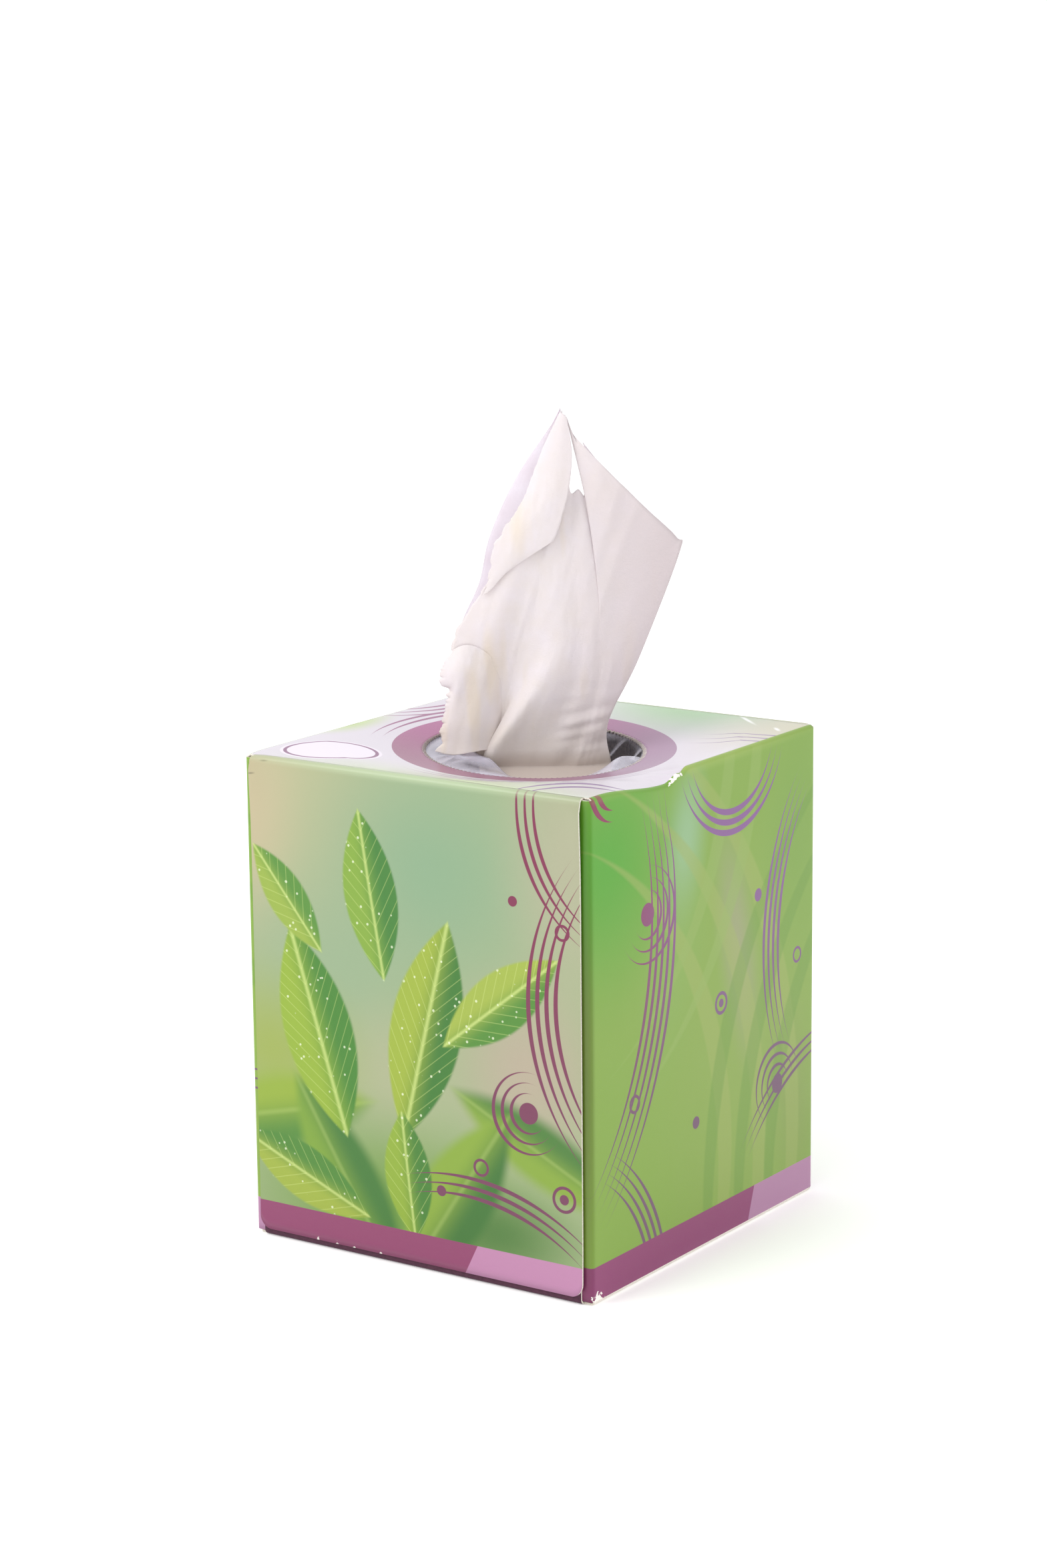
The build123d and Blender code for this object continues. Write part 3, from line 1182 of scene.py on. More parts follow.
    def inner_closure(self, end: int, materials: dict[str, Material]) -> bpy.types.Object:
        """Builds the inner end flap, which folds up from the bottom behind the outer one.

        Args:
            end: -1 for the front, 1 for the back.
            materials: the carton's materials.

        Returns:
            The flap as a thin board.
        """
        maker = MeshMaker("carton_inner_flap_front" if end < 0 else "carton_inner_flap_back")
        half, rise, corner = self.half_width - self.inner_inset, self.inner_rise, self.inner_corner
        across = [half * i / 40 for i in range(-40, 41)]
        turn = self.board + self.fold
        rows: Grid = []
        for i in range(7):
            t = math.pi / 2 * i / 6
            y, z = end * (self.tube_half + turn * math.sin(t)), turn * (1 - math.cos(t))
            rows.append([Vector((u, y, z)) for u in across])
        for i in range(1, 13):
            row = []
            for u in across:
                past = max(abs(u) - (half - corner), 0.0)
                high = rise - corner + math.sqrt(max(corner**2 - past**2, 0.0))
                row.append(Vector((u, end * (self.tube_half + turn), turn + (high - turn) * i / 12)))
            rows.append(row)
        maker.grid(rows, 0, flip=end > 0)
        piece = maker.build([materials[name] for name in ("tucked", "inside", "edge")])
        thicken(piece, self.board, inner=1, rim=2)
        return self.marked(piece)

    def marked(self, piece: bpy.types.Object) -> bpy.types.Object:
        """Writes the wear of each point of a piece and settles it.

        Args:
            piece: a finished piece of the carton.

        Returns:
            The piece.
        """
        marks = piece.data.attributes.new("wear", "FLOAT", "POINT")
        marks.data.foreach_set("value", [self.wear(v.co / MM) for v in piece.data.vertices])
        return settle(piece, "printed_paperboard", "carton")

    def make(self) -> list[bpy.types.Object]:
        """Builds and dresses the whole carton.

        Returns:
            Its pieces.
        """
        end, side = EndPrint(), SidePrint()
        materials = {
            "top": TopPrint().make(),
            "front": end.make(Face.FRONT),
            "back": end.make(Face.BACK),
            "right": side.make(Face.RIGHT),
            "left": side.make(Face.LEFT),
            "bottom": BareBoard("uncoated_white_lining", "#e9e4dc", "#d9d1c6").make(),
            # Painted shade: the inner flap's outside is dark plum-grey, so that the strip under the outer
            # flap's lower edge reads as the shade that falls there
            "tucked": BareBoard("dark_lining_painted_shade", "#4f2a3d", "#432234").make(),
            "inside": BareBoard("grey_recycled_board", "#b9a088", "#937b65").make(),
            "edge": BareBoard("cut_board_edge", "#f1ece2", "#d8cfc1", fibre=0.3).make(),
        }
        pieces = [self.wrap(materials)]
        for end_side in (-1, 1):
            pieces += [self.closure(end_side, materials), self.inner_closure(end_side, materials)]
        return pieces


@dataclass(frozen=True)
class ClearFilm:
    """Cast polypropylene film, slack and glossy: nearly clear, with a blue-white shine at a grazing view.

    Attributes:
        tint: the sRGB colour of its shine, a painted reflection of the white surroundings.
        haze: how much of the shine shows when it is looked at straight on.
        shine: how much shows at a grazing view.
        grazing: from which share of facing away to which it turns from the one to the other.
        crinkle: from one soft crinkle to the next, in millimetres.
        gather: the middle of the place where its folds lie double, at the slit's left end.
        gather_reach: how far from there that fades out, and how far it is full.
        gathered: how much of the shine shows there.
    """

    tint: str = "#e2deee"
    roughness: float = 0.12
    ior: float = 1.49
    haze: float = 0.035
    shine: float = 0.85
    grazing: Pair = (0.42, 0.8)
    crinkle: float = 9.0
    gather: Triple = (-14.0, -8.0, 119.0)
    gather_reach: Pair = (14.0, 5.0)
    gathered: float = 0.75

    def make(self) -> Material:
        """Makes the film's material.

        Returns:
            The finished material.
        """
        material, tree = blank("clear_polypropylene_film")
        spot = add_node(tree, "TexCoord").outputs["Object"]
        # Slack cast film has soft crinkles a few millimetres apart
        slack = {"Vector": spot, "Scale": 1 / (self.crinkle * MM), "Detail": 2.0}
        crinkle = add_node(tree, "TexNoise", slack)
        lift = add_node(tree, "Bump", {"Height": crinkle, "Strength": 0.18, "Distance": 0.5 * MM})
        inputs = {
            "Base Color": linear(self.tint),
            "Roughness": self.roughness,
            "IOR": self.ior,
            "Specular IOR Level": 1.0,
            "Normal": lift,
        }
        shine = add_node(tree, "BsdfPrincipled", inputs)
        # Painted reflection: the blue-white colour shows faintly straight on and mostly at a grazing view
        view = add_node(tree, "LayerWeight", {"Blend": 0.35, "Normal": lift}).outputs["Facing"]
        low, high = self.grazing
        clearing = {"To Min": self.haze, "To Max": self.shine}
        share = add_node(tree, "MapRange", {"Value": view, "From Min": low, "From Max": high, **clearing})
        # Where it gathers at the slit's left end its folds lie double and hazier, and more of the painted
        # reflection shows there as a painted highlight
        middle = tuple(v * MM for v in self.gather)
        away = add_node(tree, "VectorMath", {0: spot, 1: middle}, operation="DISTANCE").outputs["Value"]
        far, near = self.gather_reach
        doubled = {"Value": away, "From Min": far * MM, "From Max": near * MM, "To Max": self.gathered}
        gathered = add_node(tree, "MapRange", doubled)
        painted_shine = add_node(tree, "Math", {0: share, 1: gathered}, operation="MAXIMUM")
        mix = add_node(tree, "MixShader", {0: painted_shine, 1: add_node(tree, "BsdfTransparent"), 2: shine})
        add_node(tree, "OutputMaterial", {0: mix})
        return material


@dataclass
class WindowFilm:
    """The slack film under the opening, with its slit held open by the tissue.

    Attributes:
        carton: the carton that it is glued under.
        margin: how far it runs under the top panel.
        turn: the slit's direction in degrees.
        left: from the opening's middle to the slit's left end.
        right: from the opening's middle to the slit's right end.
        front_lip: how far the front lip stands off the slit's line.
        back_lip: how far the back lip stands off it.
        front_sag: how far the front lip hangs below the opening's edge where the tissue presses it down.
        back_sag: how far the back lip hangs below it on the left.
        right_sag: how much farther the back lip hangs on the right.
        bulge: how far the front lip stands up at its right end.
        slack: how far both lips hang in any case.
        clearance: how far its margin lies below the panel's underside.
        step: how much lower its slack part begins.
        press_right: the directions in degrees where the tissue begins to press the front lip down on
            the right, and where it presses fully.
        press_left: the same on the left.
        back_left: where the back lip begins to hang on the left, and where it hangs fully.
        bulge_at: the bulge's direction and its reach in degrees.
        creases: for each crease the direction from which it leaves the slit, the direction in which it
            runs, both in degrees, and its height.
        crease_width: half a crease's width.
        thickness: of the film.
    """

    carton: Carton
    margin: float = 10.0
    turn: float = 25.0
    left: float = -15.5
    right: float = 27.6
    front_lip: float = 11.0
    back_lip: float = 6.5
    front_sag: float = 4.2
    back_sag: float = 2.6
    right_sag: float = 6.0
    bulge: float = 2.4
    slack: float = 0.4
    clearance: float = 0.06
    step: float = 0.3
    press_right: Pair = (-40.0, -66.0)
    press_left: Pair = (-142.0, -120.0)
    back_left: Pair = (160.0, 100.0)
    bulge_at: Pair = (-30.0, 36.0)
    creases: tuple[Triple, ...] = (
        (180, -84, 0.6), (180, -100, 0.25), (-30, -50, 0.3), (40, 80, 0.7), (60, 96, 0.8), (180, 150, 0.4),
    )
    crease_width: float = 0.8
    thickness: float = 0.06

    def lip(self, turn: float) -> Vector:
        """Gives the slit's edge in a direction.

        Args:
            turn: 0 for the slit's right end, 180 for its left end, less than 0 for the front lip.

        Returns:
            The place there, at height 0.
        """
        t = math.radians(turn)
        along = (self.right + self.left) / 2 + (self.right - self.left) / 2 * math.cos(t)
        # The front lip runs out straight to the right and stands off where the tissue fills the slit
        off = (self.back_lip if turn > 0 else self.front_lip * (1 - math.cos(t)) / 2) * math.sin(t)
        slit = math.radians(self.turn)
        across, deep = math.cos(slit), math.sin(slit)
        return Vector((along * across - off * deep, along * deep + off * across, 0))

    def under(self, x: float, y: float) -> float:
        """Gives the height of the film where it lies under the panel."""
        return self.carton.height - self.carton.hang(x, y) - self.carton.board - self.clearance

    def creased(self, p: Vector, share: float) -> float:
        """Gives the height that the film's creases add, which start at the slit's edge.

        Args:
            p: a place on the film.
            share: 0 at the slit, 1 at the opening's edge.

        Returns:
            The height in millimetres.
        """
        lift = 0.0
        for turn, aim, height in self.creases:
            way = Vector((math.cos(math.radians(aim)), math.sin(math.radians(aim)), 0))
            offset = p - self.lip(turn)
            along = offset.dot(way)
            off = (offset - way * along).length
            lift += height * bump(off, self.crease_width) * smooth(0.0, 5.0, along) * (1 - share)
        return lift

    def hang(self, turn: float) -> float:
        """Gives how far the slit's edge hangs below the opening's edge in a direction.

        Args:
            turn: the direction, as in lip.

        Returns:
            The depth in millimetres.
        """
        swing = abs(math.sin(math.radians(turn))) ** 0.8
        if turn < 0:
            pressed = smooth(*self.press_right, turn) * smooth(*self.press_left, turn)
            middle, reach = self.bulge_at
            low = self.slack + self.front_sag * pressed - self.bulge * bump(turn - middle, reach)
        else:
            low = self.slack + self.back_sag * smooth(*self.back_left, turn)
            low += self.right_sag * max(math.cos(math.radians(turn)), 0.0)
        return low * swing

    def point(self, turn: float, share: float) -> Vector:
        """Gives a point of the film.

        Args:
            turn: its direction in degrees from the slit's right end.
            share: 0 at the slit, 1 at the opening's edge, 2 at the glued margin's end.

        Returns:
            The point in the carton's frame.
        """
        angle = math.radians(self.turn + turn)
        opening = self.carton.opening
        rim = Vector((math.cos(angle), math.sin(angle), 0)) * opening
        if share > 1:
            p = rim * ((opening + self.margin * (share - 1)) / opening)
            p.z = self.under(p.x, p.y)
            return p
        p = self.lip(turn).lerp(rim, share)
        low = self.step + self.hang(turn) * (1 - share) ** 1.2
        p.z = self.under(rim.x, rim.y) - low + self.creased(p, share)
        return p

    def make(self) -> bpy.types.Object:
        """Builds and dresses the film.

        Returns:
            The film as one piece.
        """
        maker = MeshMaker("slit_film")
        turns = [-180 + 360 * i / 240 for i in range(241)]
        shares = [(i / 20) ** 0.9 for i in range(21)] + [1.5, 2.0]
        maker.grid([[self.point(turn, share) for turn in turns] for share in shares])
        piece = maker.build([ClearFilm().make()], weld=0.02)
        thicken(piece, self.thickness)
        return settle(piece, "clear_film", "window_film")


@dataclass(frozen=True)
class TissuePaper:
    """Creped cellulose tissue of soft plies: matt, warm white, glowing where light comes through.

    Attributes:
        name: the material's name.
        colour: the sRGB colour of a single thickness.
        shaded: the sRGB colour of the painted shade towards the free corner, which hangs turned away from the
            lamps.
        glow: the share of light that passes through.
        streaks: how strong the painted streaks of yellowish light in its folds are.
        cloudy: the colour of its denser fibre.
        sunk: its colour down in the slit, in the box's own shade.
        warm: its sRGB colour where light from the board inside comes through.
        crepe: the distance from one crepe ridge to the next, drawn coarse enough to show.
        cloud: the size of the denser spots of fibre.
        warm_foot: between which heights its foot turns warm with that painted light.
        warmth: how warm it gets there.
        sinking: between which heights it sinks into the box's shade.
        shade: how deep that shade is.
        turned: the direction towards the free corner, along which the painted shade deepens.
        corner_shade_reach: how far along it the painted shade begins, and how far it is full.
    """

    name: str = "creped_tissue_paper"
    colour: str = "#f2ebee"
    shaded: str = "#dbd0d2"
    glow: float = 0.2
    streaks: float = 0.5
    cloudy: str = "#f0e8e6"
    sunk: str = "#cbbdb4"
    warm: str = "#efe1c9"
    crepe: float = 0.7
    cloud: float = 6.0
    warm_foot: Pair = (138.0, 116.0)
    warmth: float = 0.4
    sinking: Pair = (122.5, 119.0)
    shade: float = 0.95
    turned: Triple = (0.827, 0.562, 0.0)
    corner_shade_reach: Pair = (2.0, 34.0)
    roughness: float = 0.92

    def make(self) -> Material:
        """Makes the paper's material.

        Returns:
            The finished material.
        """
        material, tree = blank(self.name)
        spot = add_node(tree, "TexCoord").outputs["Object"]
        # Crepe ridges run across the sheet and the fibre between them is cloudy
        stretched = add_node(tree, "Mapping", {0: spot, 3: (1.0, 1.0, 3.0)})
        grain = {"Vector": stretched, "Scale": 1 / (self.crepe * MM), "Detail": 2.0}
        ridges = add_node(tree, "TexNoise", grain)
        cloud_scale = 1 / (self.cloud * MM)
        cloud = add_node(tree, "TexNoise", {"Vector": spot, "Scale": cloud_scale, "Detail": 3.0})
        tone = add_node(tree, "MapRange", {"Value": cloud, "From Min": 0.3, "From Max": 0.7})
        fibre = {0: tone, 6: linear(self.cloudy), 7: linear(self.colour)}
        colour = add_node(tree, "Mix", fibre, data_type="RGBA").outputs[2]
        # Painted warm light: yellowish streaks, and a warm tone over the foot, where light from the board
        # inside comes through the folds and the gathered foot
        long = add_node(tree, "Mapping", {0: spot, 3: (1.0, 1.0, 0.16)})
        streak = add_node(tree, "TexNoise", {"Vector": long, "Scale": cloud_scale, "Detail": 1.0})
        streaked = {"Value": streak, "From Min": 0.58, "From Max": 0.7, "To Max": self.streaks}
        thin = add_node(tree, "MapRange", streaked)
        height = add_node(tree, "SeparateXYZ", {0: spot}).outputs["Z"]
        high, low = self.warm_foot
        low_down = {"Value": height, "From Min": high * MM, "From Max": low * MM, "To Max": self.warmth}
        foot = add_node(tree, "MapRange", low_down)
        most = add_node(tree, "Math", {0: thin, 1: foot}, operation="MAXIMUM")
        lit = {0: most, 6: colour, 7: linear(self.warm)}
        colour = add_node(tree, "Mix", lit, data_type="RGBA").outputs[2]
        # Painted shade: darker towards the free corner, which hangs turned away from the lamps, and darker
        # down in the slit, in the box's own shade
        across = add_node(tree, "VectorMath", {0: spot, 1: self.turned}, operation="DOT_PRODUCT")
        near, far = self.corner_shade_reach
        corner_shade_mask = {"Value": across.outputs["Value"], "From Min": near * MM, "From Max": far * MM}
        corner_shade_mix = {0: add_node(tree, "MapRange", corner_shade_mask), 6: colour, 7: linear(self.shaded)}
        colour = add_node(tree, "Mix", corner_shade_mix, data_type="RGBA").outputs[2]
        high, low = self.sinking
        sinking = {"Value": height, "From Min": high * MM, "From Max": low * MM, "To Max": self.shade}
        below = {0: add_node(tree, "MapRange", sinking), 6: colour, 7: linear(self.sunk)}
        colour = add_node(tree, "Mix", below, data_type="RGBA").outputs[2]
        relief = add_node(tree, "Math", {0: cloud, 1: 2.0, 2: ridges}, operation="MULTIPLY_ADD")
        lift = add_node(tree, "Bump", {"Height": relief, "Strength": 0.25, "Distance": 0.2 * MM})
        inputs = {
            "Base Color": colour,
            "Roughness": self.roughness,
            "Sheen Weight": 0.15,
            "Specular IOR Level": 0.2,
            "Normal": lift,
        }
        front = add_node(tree, "BsdfPrincipled", inputs)
        through = add_node(tree, "BsdfTranslucent", {"Color": colour, "Normal": lift})
        mix = add_node(tree, "MixShader", {0: self.glow, 1: front, 2: through})
        add_node(tree, "OutputMaterial", {0: mix})
        return material


@dataclass
class TissuePile:
    """The folded tissues that are left, bent over into an upside-down U.

    Attributes:
        shoulder: the radius where the pile bends over.
        core_gap: the width of the gap between its two legs.
        core_height: how far the gap reaches up.
        sheets: how many folded edges show on each leg's end.
        slip: how far the sheets' ends stray.
        ripple: how deep the outer sheet's dents are.
    """

    shoulder: float = 24.0
    core_gap: float = 3.0
    core_height: float = 42.0
    sheets: int = 30
    slip: float = 0.35
    ripple: float = 0.5

    def __post_init__(self) -> None:
        """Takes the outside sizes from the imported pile."""
        low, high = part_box("tissue_pile")
        self.half_width, self.half_depth = high[0] / MM, high[1] / MM
        self.foot, self.top = low[2] / MM, high[2] / MM

    def surface(self, x: float) -> float:
        """Gives the height of the pile's top at a place across it."""
        past = min(max(abs(x) - (self.half_width - self.shoulder), 0.0), self.shoulder)
        return self.top - self.shoulder + math.sqrt(self.shoulder**2 - past**2)

    def hoop(self, share: float) -> list[Vector]:
        """Gives one sheet's line over the core in the XZ plane, from the left foot to the right foot.

        Args:
            share: 0 for the innermost sheet and 1 for the outermost.

        Returns:
            The line's points.
        """
        half = self.core_gap / 2 + (self.half_width - self.core_gap / 2) * share
        crest = self.foot + self.core_height + (self.top - self.foot - self.core_height) * share
        radius = self.core_gap / 2 + (self.shoulder - self.core_gap / 2) * share
        line = [Vector((-half, 0, self.foot + (crest - radius - self.foot) * i / 6)) for i in range(6)]
        for i in range(9):
            t = math.pi / 2 * i / 8
            line.append(Vector((-half + radius * (1 - math.cos(t)), 0, crest - radius * (1 - math.sin(t)))))
        mirrored = [Vector((-p.x, 0, p.z)) for p in reversed(line)]
        if half - radius > 0.5:
            line += [Vector(((half - radius) * (i / 4 - 1), 0, crest)) for i in range(1, 4)]
            line += [Vector(((half - radius) * i / 4, 0, crest)) for i in range(0, 4)]
        return line + mirrored

    def make(self) -> bpy.types.Object:
        """Builds and dresses the pile.

        Returns:
            The pile as one piece.
        """
        maker = MeshMaker("folded_tissue_pile")
        outer = self.hoop(1.0)
        stops = [-self.half_depth + 2 * self.half_depth * i / 60 for i in range(61)]
        rows = []
        for y in stops:
            ripple = [self.ripple * noise.noise(Vector((p.x * 0.08, y * 0.06, p.z * 0.05))) for p in outer]
            rows.append([Vector((p.x, y, p.z - abs(r))) for p, r in zip(outer, ripple)])
        maker.grid(rows)
        inner = self.hoop(0.0)
        maker.grid([[Vector((p.x, y, p.z)) for p in inner] for y in stops], flip=True)
        for end in (-1, 1):
            band: Grid = []
            for i in range(2 * self.sheets + 1):
                share = i / (2 * self.sheets)
                line = self.hoop(share)
                if len(line) != len(outer):
                    line = [catmull(line, k / (len(outer) - 1)) for k in range(len(outer))]
                slip = self.slip * (i % 2) if 0 < i < 2 * self.sheets else 0.0
                band.append([Vector((p.x, end * (self.half_depth - slip), p.z)) for p in line])
            maker.grid(band, flip=end < 0)
        for side in (-1, 1):
            foot = [side * self.core_gap / 2, side * self.half_width]
            maker.grid([[Vector((x, y, self.foot)) for y in stops] for x in foot], flip=side > 0)
        piece = maker.build([TissuePaper("stacked_tissue_paper", glow=0.05).make()], weld=0.02)
        return settle(piece, "tissue_paper", "tissue_pile")


@dataclass(frozen=True)
class FoldLine:
    """A line down the pulled tissue, from its hem to the slit.

    Attributes:
        points: from top to bottom its places: across to the right, up, and towards the viewer.
        crisp: whether the paper is creased along it.
    """

    points: tuple[Triple, ...]
    crisp: bool = False


@dataclass(frozen=True)
class Ply:
    """A layer of the pulled tissue, from its left edge to its right edge.

    Attributes:
        lines: its fold lines, from left to right.
        foot: how far its lower end spreads over the pile towards the viewer.
        ragged: how far its left hem strays, in millimetres.
        rise: how far its foot lies above the pile, over the feet of other layers.
        belly: how far it bulges out under the film.
        single: whether it is one thin ply by itself, which gets a paler copy of the paper as painted light.
    """

    lines: tuple[FoldLine, ...]
    foot: float
    ragged: float = 0.0
    rise: float = 0.0
    belly: float = 0.0
    single: bool = False


FRONT_PLY = Ply(
    (
        # Ragged hem
        FoldLine((
            (7.2, 207.6, 0.7), (2.6, 198, 0.7), (-2.5, 185.3, 0.6), (-9.4, 174.5, 0.5), (-11, 166, 0.4),
            (-12.8, 161.4, 0.3),
        )),
        # Left middle
        FoldLine((
            (7.6, 207.3, 1.0), (4.8, 197, 1.3), (0.6, 186, 1.4), (-4.4, 176, 1.3), (-7.6, 169, 1.0),
            (-10.4, 163.2, 0.6),
        )),
        # Middle
        FoldLine((
            (8.2, 206.8, 1.1), (7.2, 197, 1.5), (5.0, 187, 1.6), (1.8, 179, 1.3), (-1.6, 172.6, 1.0),
            (-5.9, 168, 0.7),
        )),
        # Inner edge
        FoldLine((
            (8.8, 206, 0.9), (10.0, 197, 0.9), (9.1, 188, 0.8), (7.4, 181.2, 0.7), (6.2, 177.4, 0.6),
            (5.2, 175.3, 0.5),
        )),
    ),
    foot=0.0,
    ragged=0.7,
)

LOBE_PLY = Ply(
    (
        # Left hem
        FoldLine((
            (-20.4, 147.9, 0.4), (-22.5, 144.4, 0.9), (-23.6, 141.6, 1.2), (-23.3, 139.4, 1.4),
            (-21.0, 138, 1.8), (-22.1, 134.6, 2.2), (-22.8, 130.6, 2.6), (-23.7, 128.6, 2.8),
            (-23.3, 124.8, 3.2), (-24.8, 122.6, 3.4),
        )),
        # Crown
        FoldLine((
            (-17.2, 149.3, 1.2), (-19, 143.8, 3.0), (-19.2, 139, 3.6), (-18.6, 134, 4), (-19.4, 128.6, 4.4),
            (-20.6, 121.8, 4.4),
        )),
        # Middle
        FoldLine((
            (-14, 148.6, 1.2), (-14.8, 143, 3.0), (-14.8, 138.5, 3.4), (-14, 133.6, 3.6), (-14.8, 128, 4.2),
            (-16.4, 122.4, 4.4),
        )),
        # Right
        FoldLine((
            (-11, 146.4, 0), (-10.6, 141.4, 0.6), (-10.2, 137, 0.8), (-10.2, 132.4, 1.4),
            (-11.2, 127.4, 2.6), (-13, 122.8, 3.4),
        )),
        # Tuck
        FoldLine((
            (-7.6, 142, -3.4), (-6.2, 139.4, -3.6), (-6, 135.4, -3.2), (-7, 131, -2.2), (-9, 126.4, 0),
            (-11, 122.6, 1.6),
        )),
    ),
    foot=0.0,
    ragged=1.2,
)

MAIN_PLY = Ply(
    (
        # Left hem
        FoldLine((
            (7.3, 207.5, 0), (-2, 185.3, -0.3), (-10.2, 167, -0.6), (-18.8, 153.5, -0.4), (-20.5, 147, 0.5),
            (-19, 138, 0.5), (-16, 127, 0), (-14, 118.5, -0.5),
        )),
        # Left middle
        FoldLine((
            (7.5, 207.2, 0.2), (0.4, 184, 0.1), (-6, 166, 0.1), (-12, 151, 0.4), (-13.4, 144, 0.4),
            (-13, 135, 0), (-12.4, 126, -0.4), (-12, 118.4, 0),
        )),
        # Lobe valley
        FoldLine((
            (7.7, 206.8, 0), (2.4, 184, -0.5), (-1.6, 164, -0.8), (-5.4, 149, -1.2), (-6.6, 141, -1.4),
            (-7.8, 132, -0.8), (-10.6, 124, 0.4), (-12.2, 118.2, 0.2),
        )),
        # Roll foot
        FoldLine((
            (7.9, 206.4, -0.2), (3.8, 184, -0.8), (1.4, 164, -1.2), (-0.6, 150, -1.0), (-2.2, 140.6, -0.2),
            (-7.2, 131.4, 1.2), (-12, 123, 2.4), (-13.2, 117.6, 1.0),
        ), crisp=True),
        # Roll crest
        FoldLine((
            (8.1, 206.2, -0.2), (5, 186, -0.7), (4.6, 166, -0.6), (6.2, 152, 0.4), (2.4, 141.8, 2.3),
            (-3.6, 132.4, 3.7), (-9, 124.4, 3.9), (-11.4, 118, 2.2),
        )),
        # Roll right
        FoldLine((
            (8.6, 205, -0.6), (7.2, 184, -1.1), (8, 166, -0.8), (9.4, 151.5, 0.2), (6.2, 141, 2),
            (0.4, 131.6, 3), (-5.4, 123.6, 3.0), (-8.8, 118, 1.6),
        )),
        # Roll shadow
        FoldLine((
            (9.3, 188.1, -1.8), (9.8, 180, -1.5), (10.4, 166, -1.1), (11.6, 151, -0.2), (10.2, 140, 0.7),
            (6.6, 131, 1.4), (1.4, 123.4, 1.9), (-3, 118, 1.4),
        )),
        # Neck ridge
        FoldLine((
            (11.6, 187.9, -1.8), (12.6, 179, -1.3), (13, 166, -0.7), (14.6, 153, -0.1), (14.2, 142, 0.8),
            (11.8, 132, 1.3), (7.6, 123.8, 1.8), (3.6, 118, 1.5),
        )),
        # Pleat back
        FoldLine((
            (13.2, 187, -1.9), (15.4, 177, -1.7), (16.6, 165, -1.2), (16.4, 152, -0.4), (16.4, 141, 0.2),
            (14.6, 132, 0.7), (11, 123.6, 1.2), (7.6, 118, 1.4),
        )),
        # Pleat front
        FoldLine((
            (9.0, 205.4, 0.3), (13.4, 187, -0.5), (16.0, 170, -0.8), (17.8, 154, -0.5), (18.8, 142, -0.1),
            (17.4, 132, 0.4), (14, 123.6, 1.0), (11, 118, 1.2),
        )),
        # Right valley
        FoldLine((
            (9.6, 203.2, 0.4), (18.4, 186, 0.3), (21, 174, -0.6), (23.6, 162, -1.6), (23.4, 148, -1.6),
            (20.4, 135.6, -0.8), (16.8, 126, 0.2), (15.2, 118, 0.6),
        )),
        # Right hem
        FoldLine((
            (9.8, 202.2, 0.3), (19.6, 192, -0.2), (28.5, 183, -1.8), (36.1, 175.4, -4), (36.9, 171.4, -4.4),
            (26.6, 145, -3.4), (18.6, 128.6, -1.6), (19.4, 118, -0.6),
        )),
    ),
    foot=36.0,
    ragged=0.6,
    belly=8.5,
)

INNER_PLY = Ply(
    (
        # Left fold
        FoldLine((
            (7.3, 206.8, -0.5), (0.6, 186, -1.6), (-4.6, 170, -2.2), (-9.6, 154, -2.6), (-13.4, 140, -2.4),
            (-13, 128, -1.6), (-13.4, 118, -0.8),
        )),
        # Left swell
        FoldLine((
            (7.8, 206.4, -0.6), (3.6, 186, -2), (0, 170, -2.8), (-3.4, 154, -3.6), (-5.4, 140, -3.6),
            (-6, 128, -2.6), (-6.6, 118, -1.4),
        )),
        # Valley
        FoldLine((
            (8.6, 188.6, -2.2), (7.8, 179, -2.4), (6.6, 167, -2.8), (5, 153, -3.2), (3.4, 140, -3.2),
            (1.4, 128, -2.2), (0, 118, -1),
        )),
        # Swell
        FoldLine((
            (12.4, 185.4, -2.8), (12.4, 176, -3), (12.4, 165, -3.4), (11.8, 152, -3.6), (10, 140, -3.4),
            (7.4, 128, -2.2), (6, 118, -1),
        )),
        # Right fold
        FoldLine((
            (13.6, 189, -2), (17, 180, -2.4), (20.4, 168, -2.6), (20.4, 154, -2.6), (17.8, 140, -2),
            (14, 128, -1), (13, 118, -0.2),
        )),
    ),
    foot=34.0,
    rise=4.2,
)

BACK_PLY = Ply(
    (
        # Left fold
        FoldLine((
            (7.0, 207, -0.6), (-3.7, 191.3, -1.0), (-10.6, 176.5, -1.2), (-13.4, 164.8, -1.4),
            (-18.6, 152.5, -1.6), (-20, 140, -1.8), (-17.4, 128, -2.2), (-16, 118, -2.2),
        )),
        # Left swell
        FoldLine((
            (7.4, 207, -0.9), (0.6, 190, -3), (-4.4, 176, -4.4), (-7, 163, -5), (-10, 150, -5.4),
            (-12, 138, -5), (-11.6, 127, -4), (-11, 118, -3.4),
        )),
        # Back valley
        FoldLine((
            (8.6, 189, -2.6), (7.6, 181, -3.4), (5.8, 172, -4), (3.8, 161, -4.2), (2, 150, -4.6),
            (0, 138, -4.4), (-2, 127, -3.4), (-3, 118, -2.2),
        )),
        # Back ridge
        FoldLine((
            (13.2, 185, -3.4), (13.6, 178, -4.6), (13.4, 170, -5.6), (12.6, 161, -6.2), (11.4, 150, -6.6),
            (9.6, 138, -6), (7, 127, -4.6), (5, 118, -3.6),
        )),
        # Back hollow
        FoldLine((
            (16, 191, -1.6), (19.4, 182, -2.6), (21, 172, -3.4), (21.2, 162, -4), (19.6, 150, -4.2),
            (17, 138, -3.8), (13.6, 127, -2.8), (12, 118, -1.8),
        )),
        # Right fold
        FoldLine((
            (12.6, 200, -0.6), (22, 187.6, -2.4), (28.6, 177, -5), (29, 166, -5.8), (25.6, 152, -5.4),
            (21.4, 139.6, -4), (17.2, 128.4, -2.8), (16.4, 118, -1.8),
        )),
    ),
    foot=-36.0,
    single=True,
)


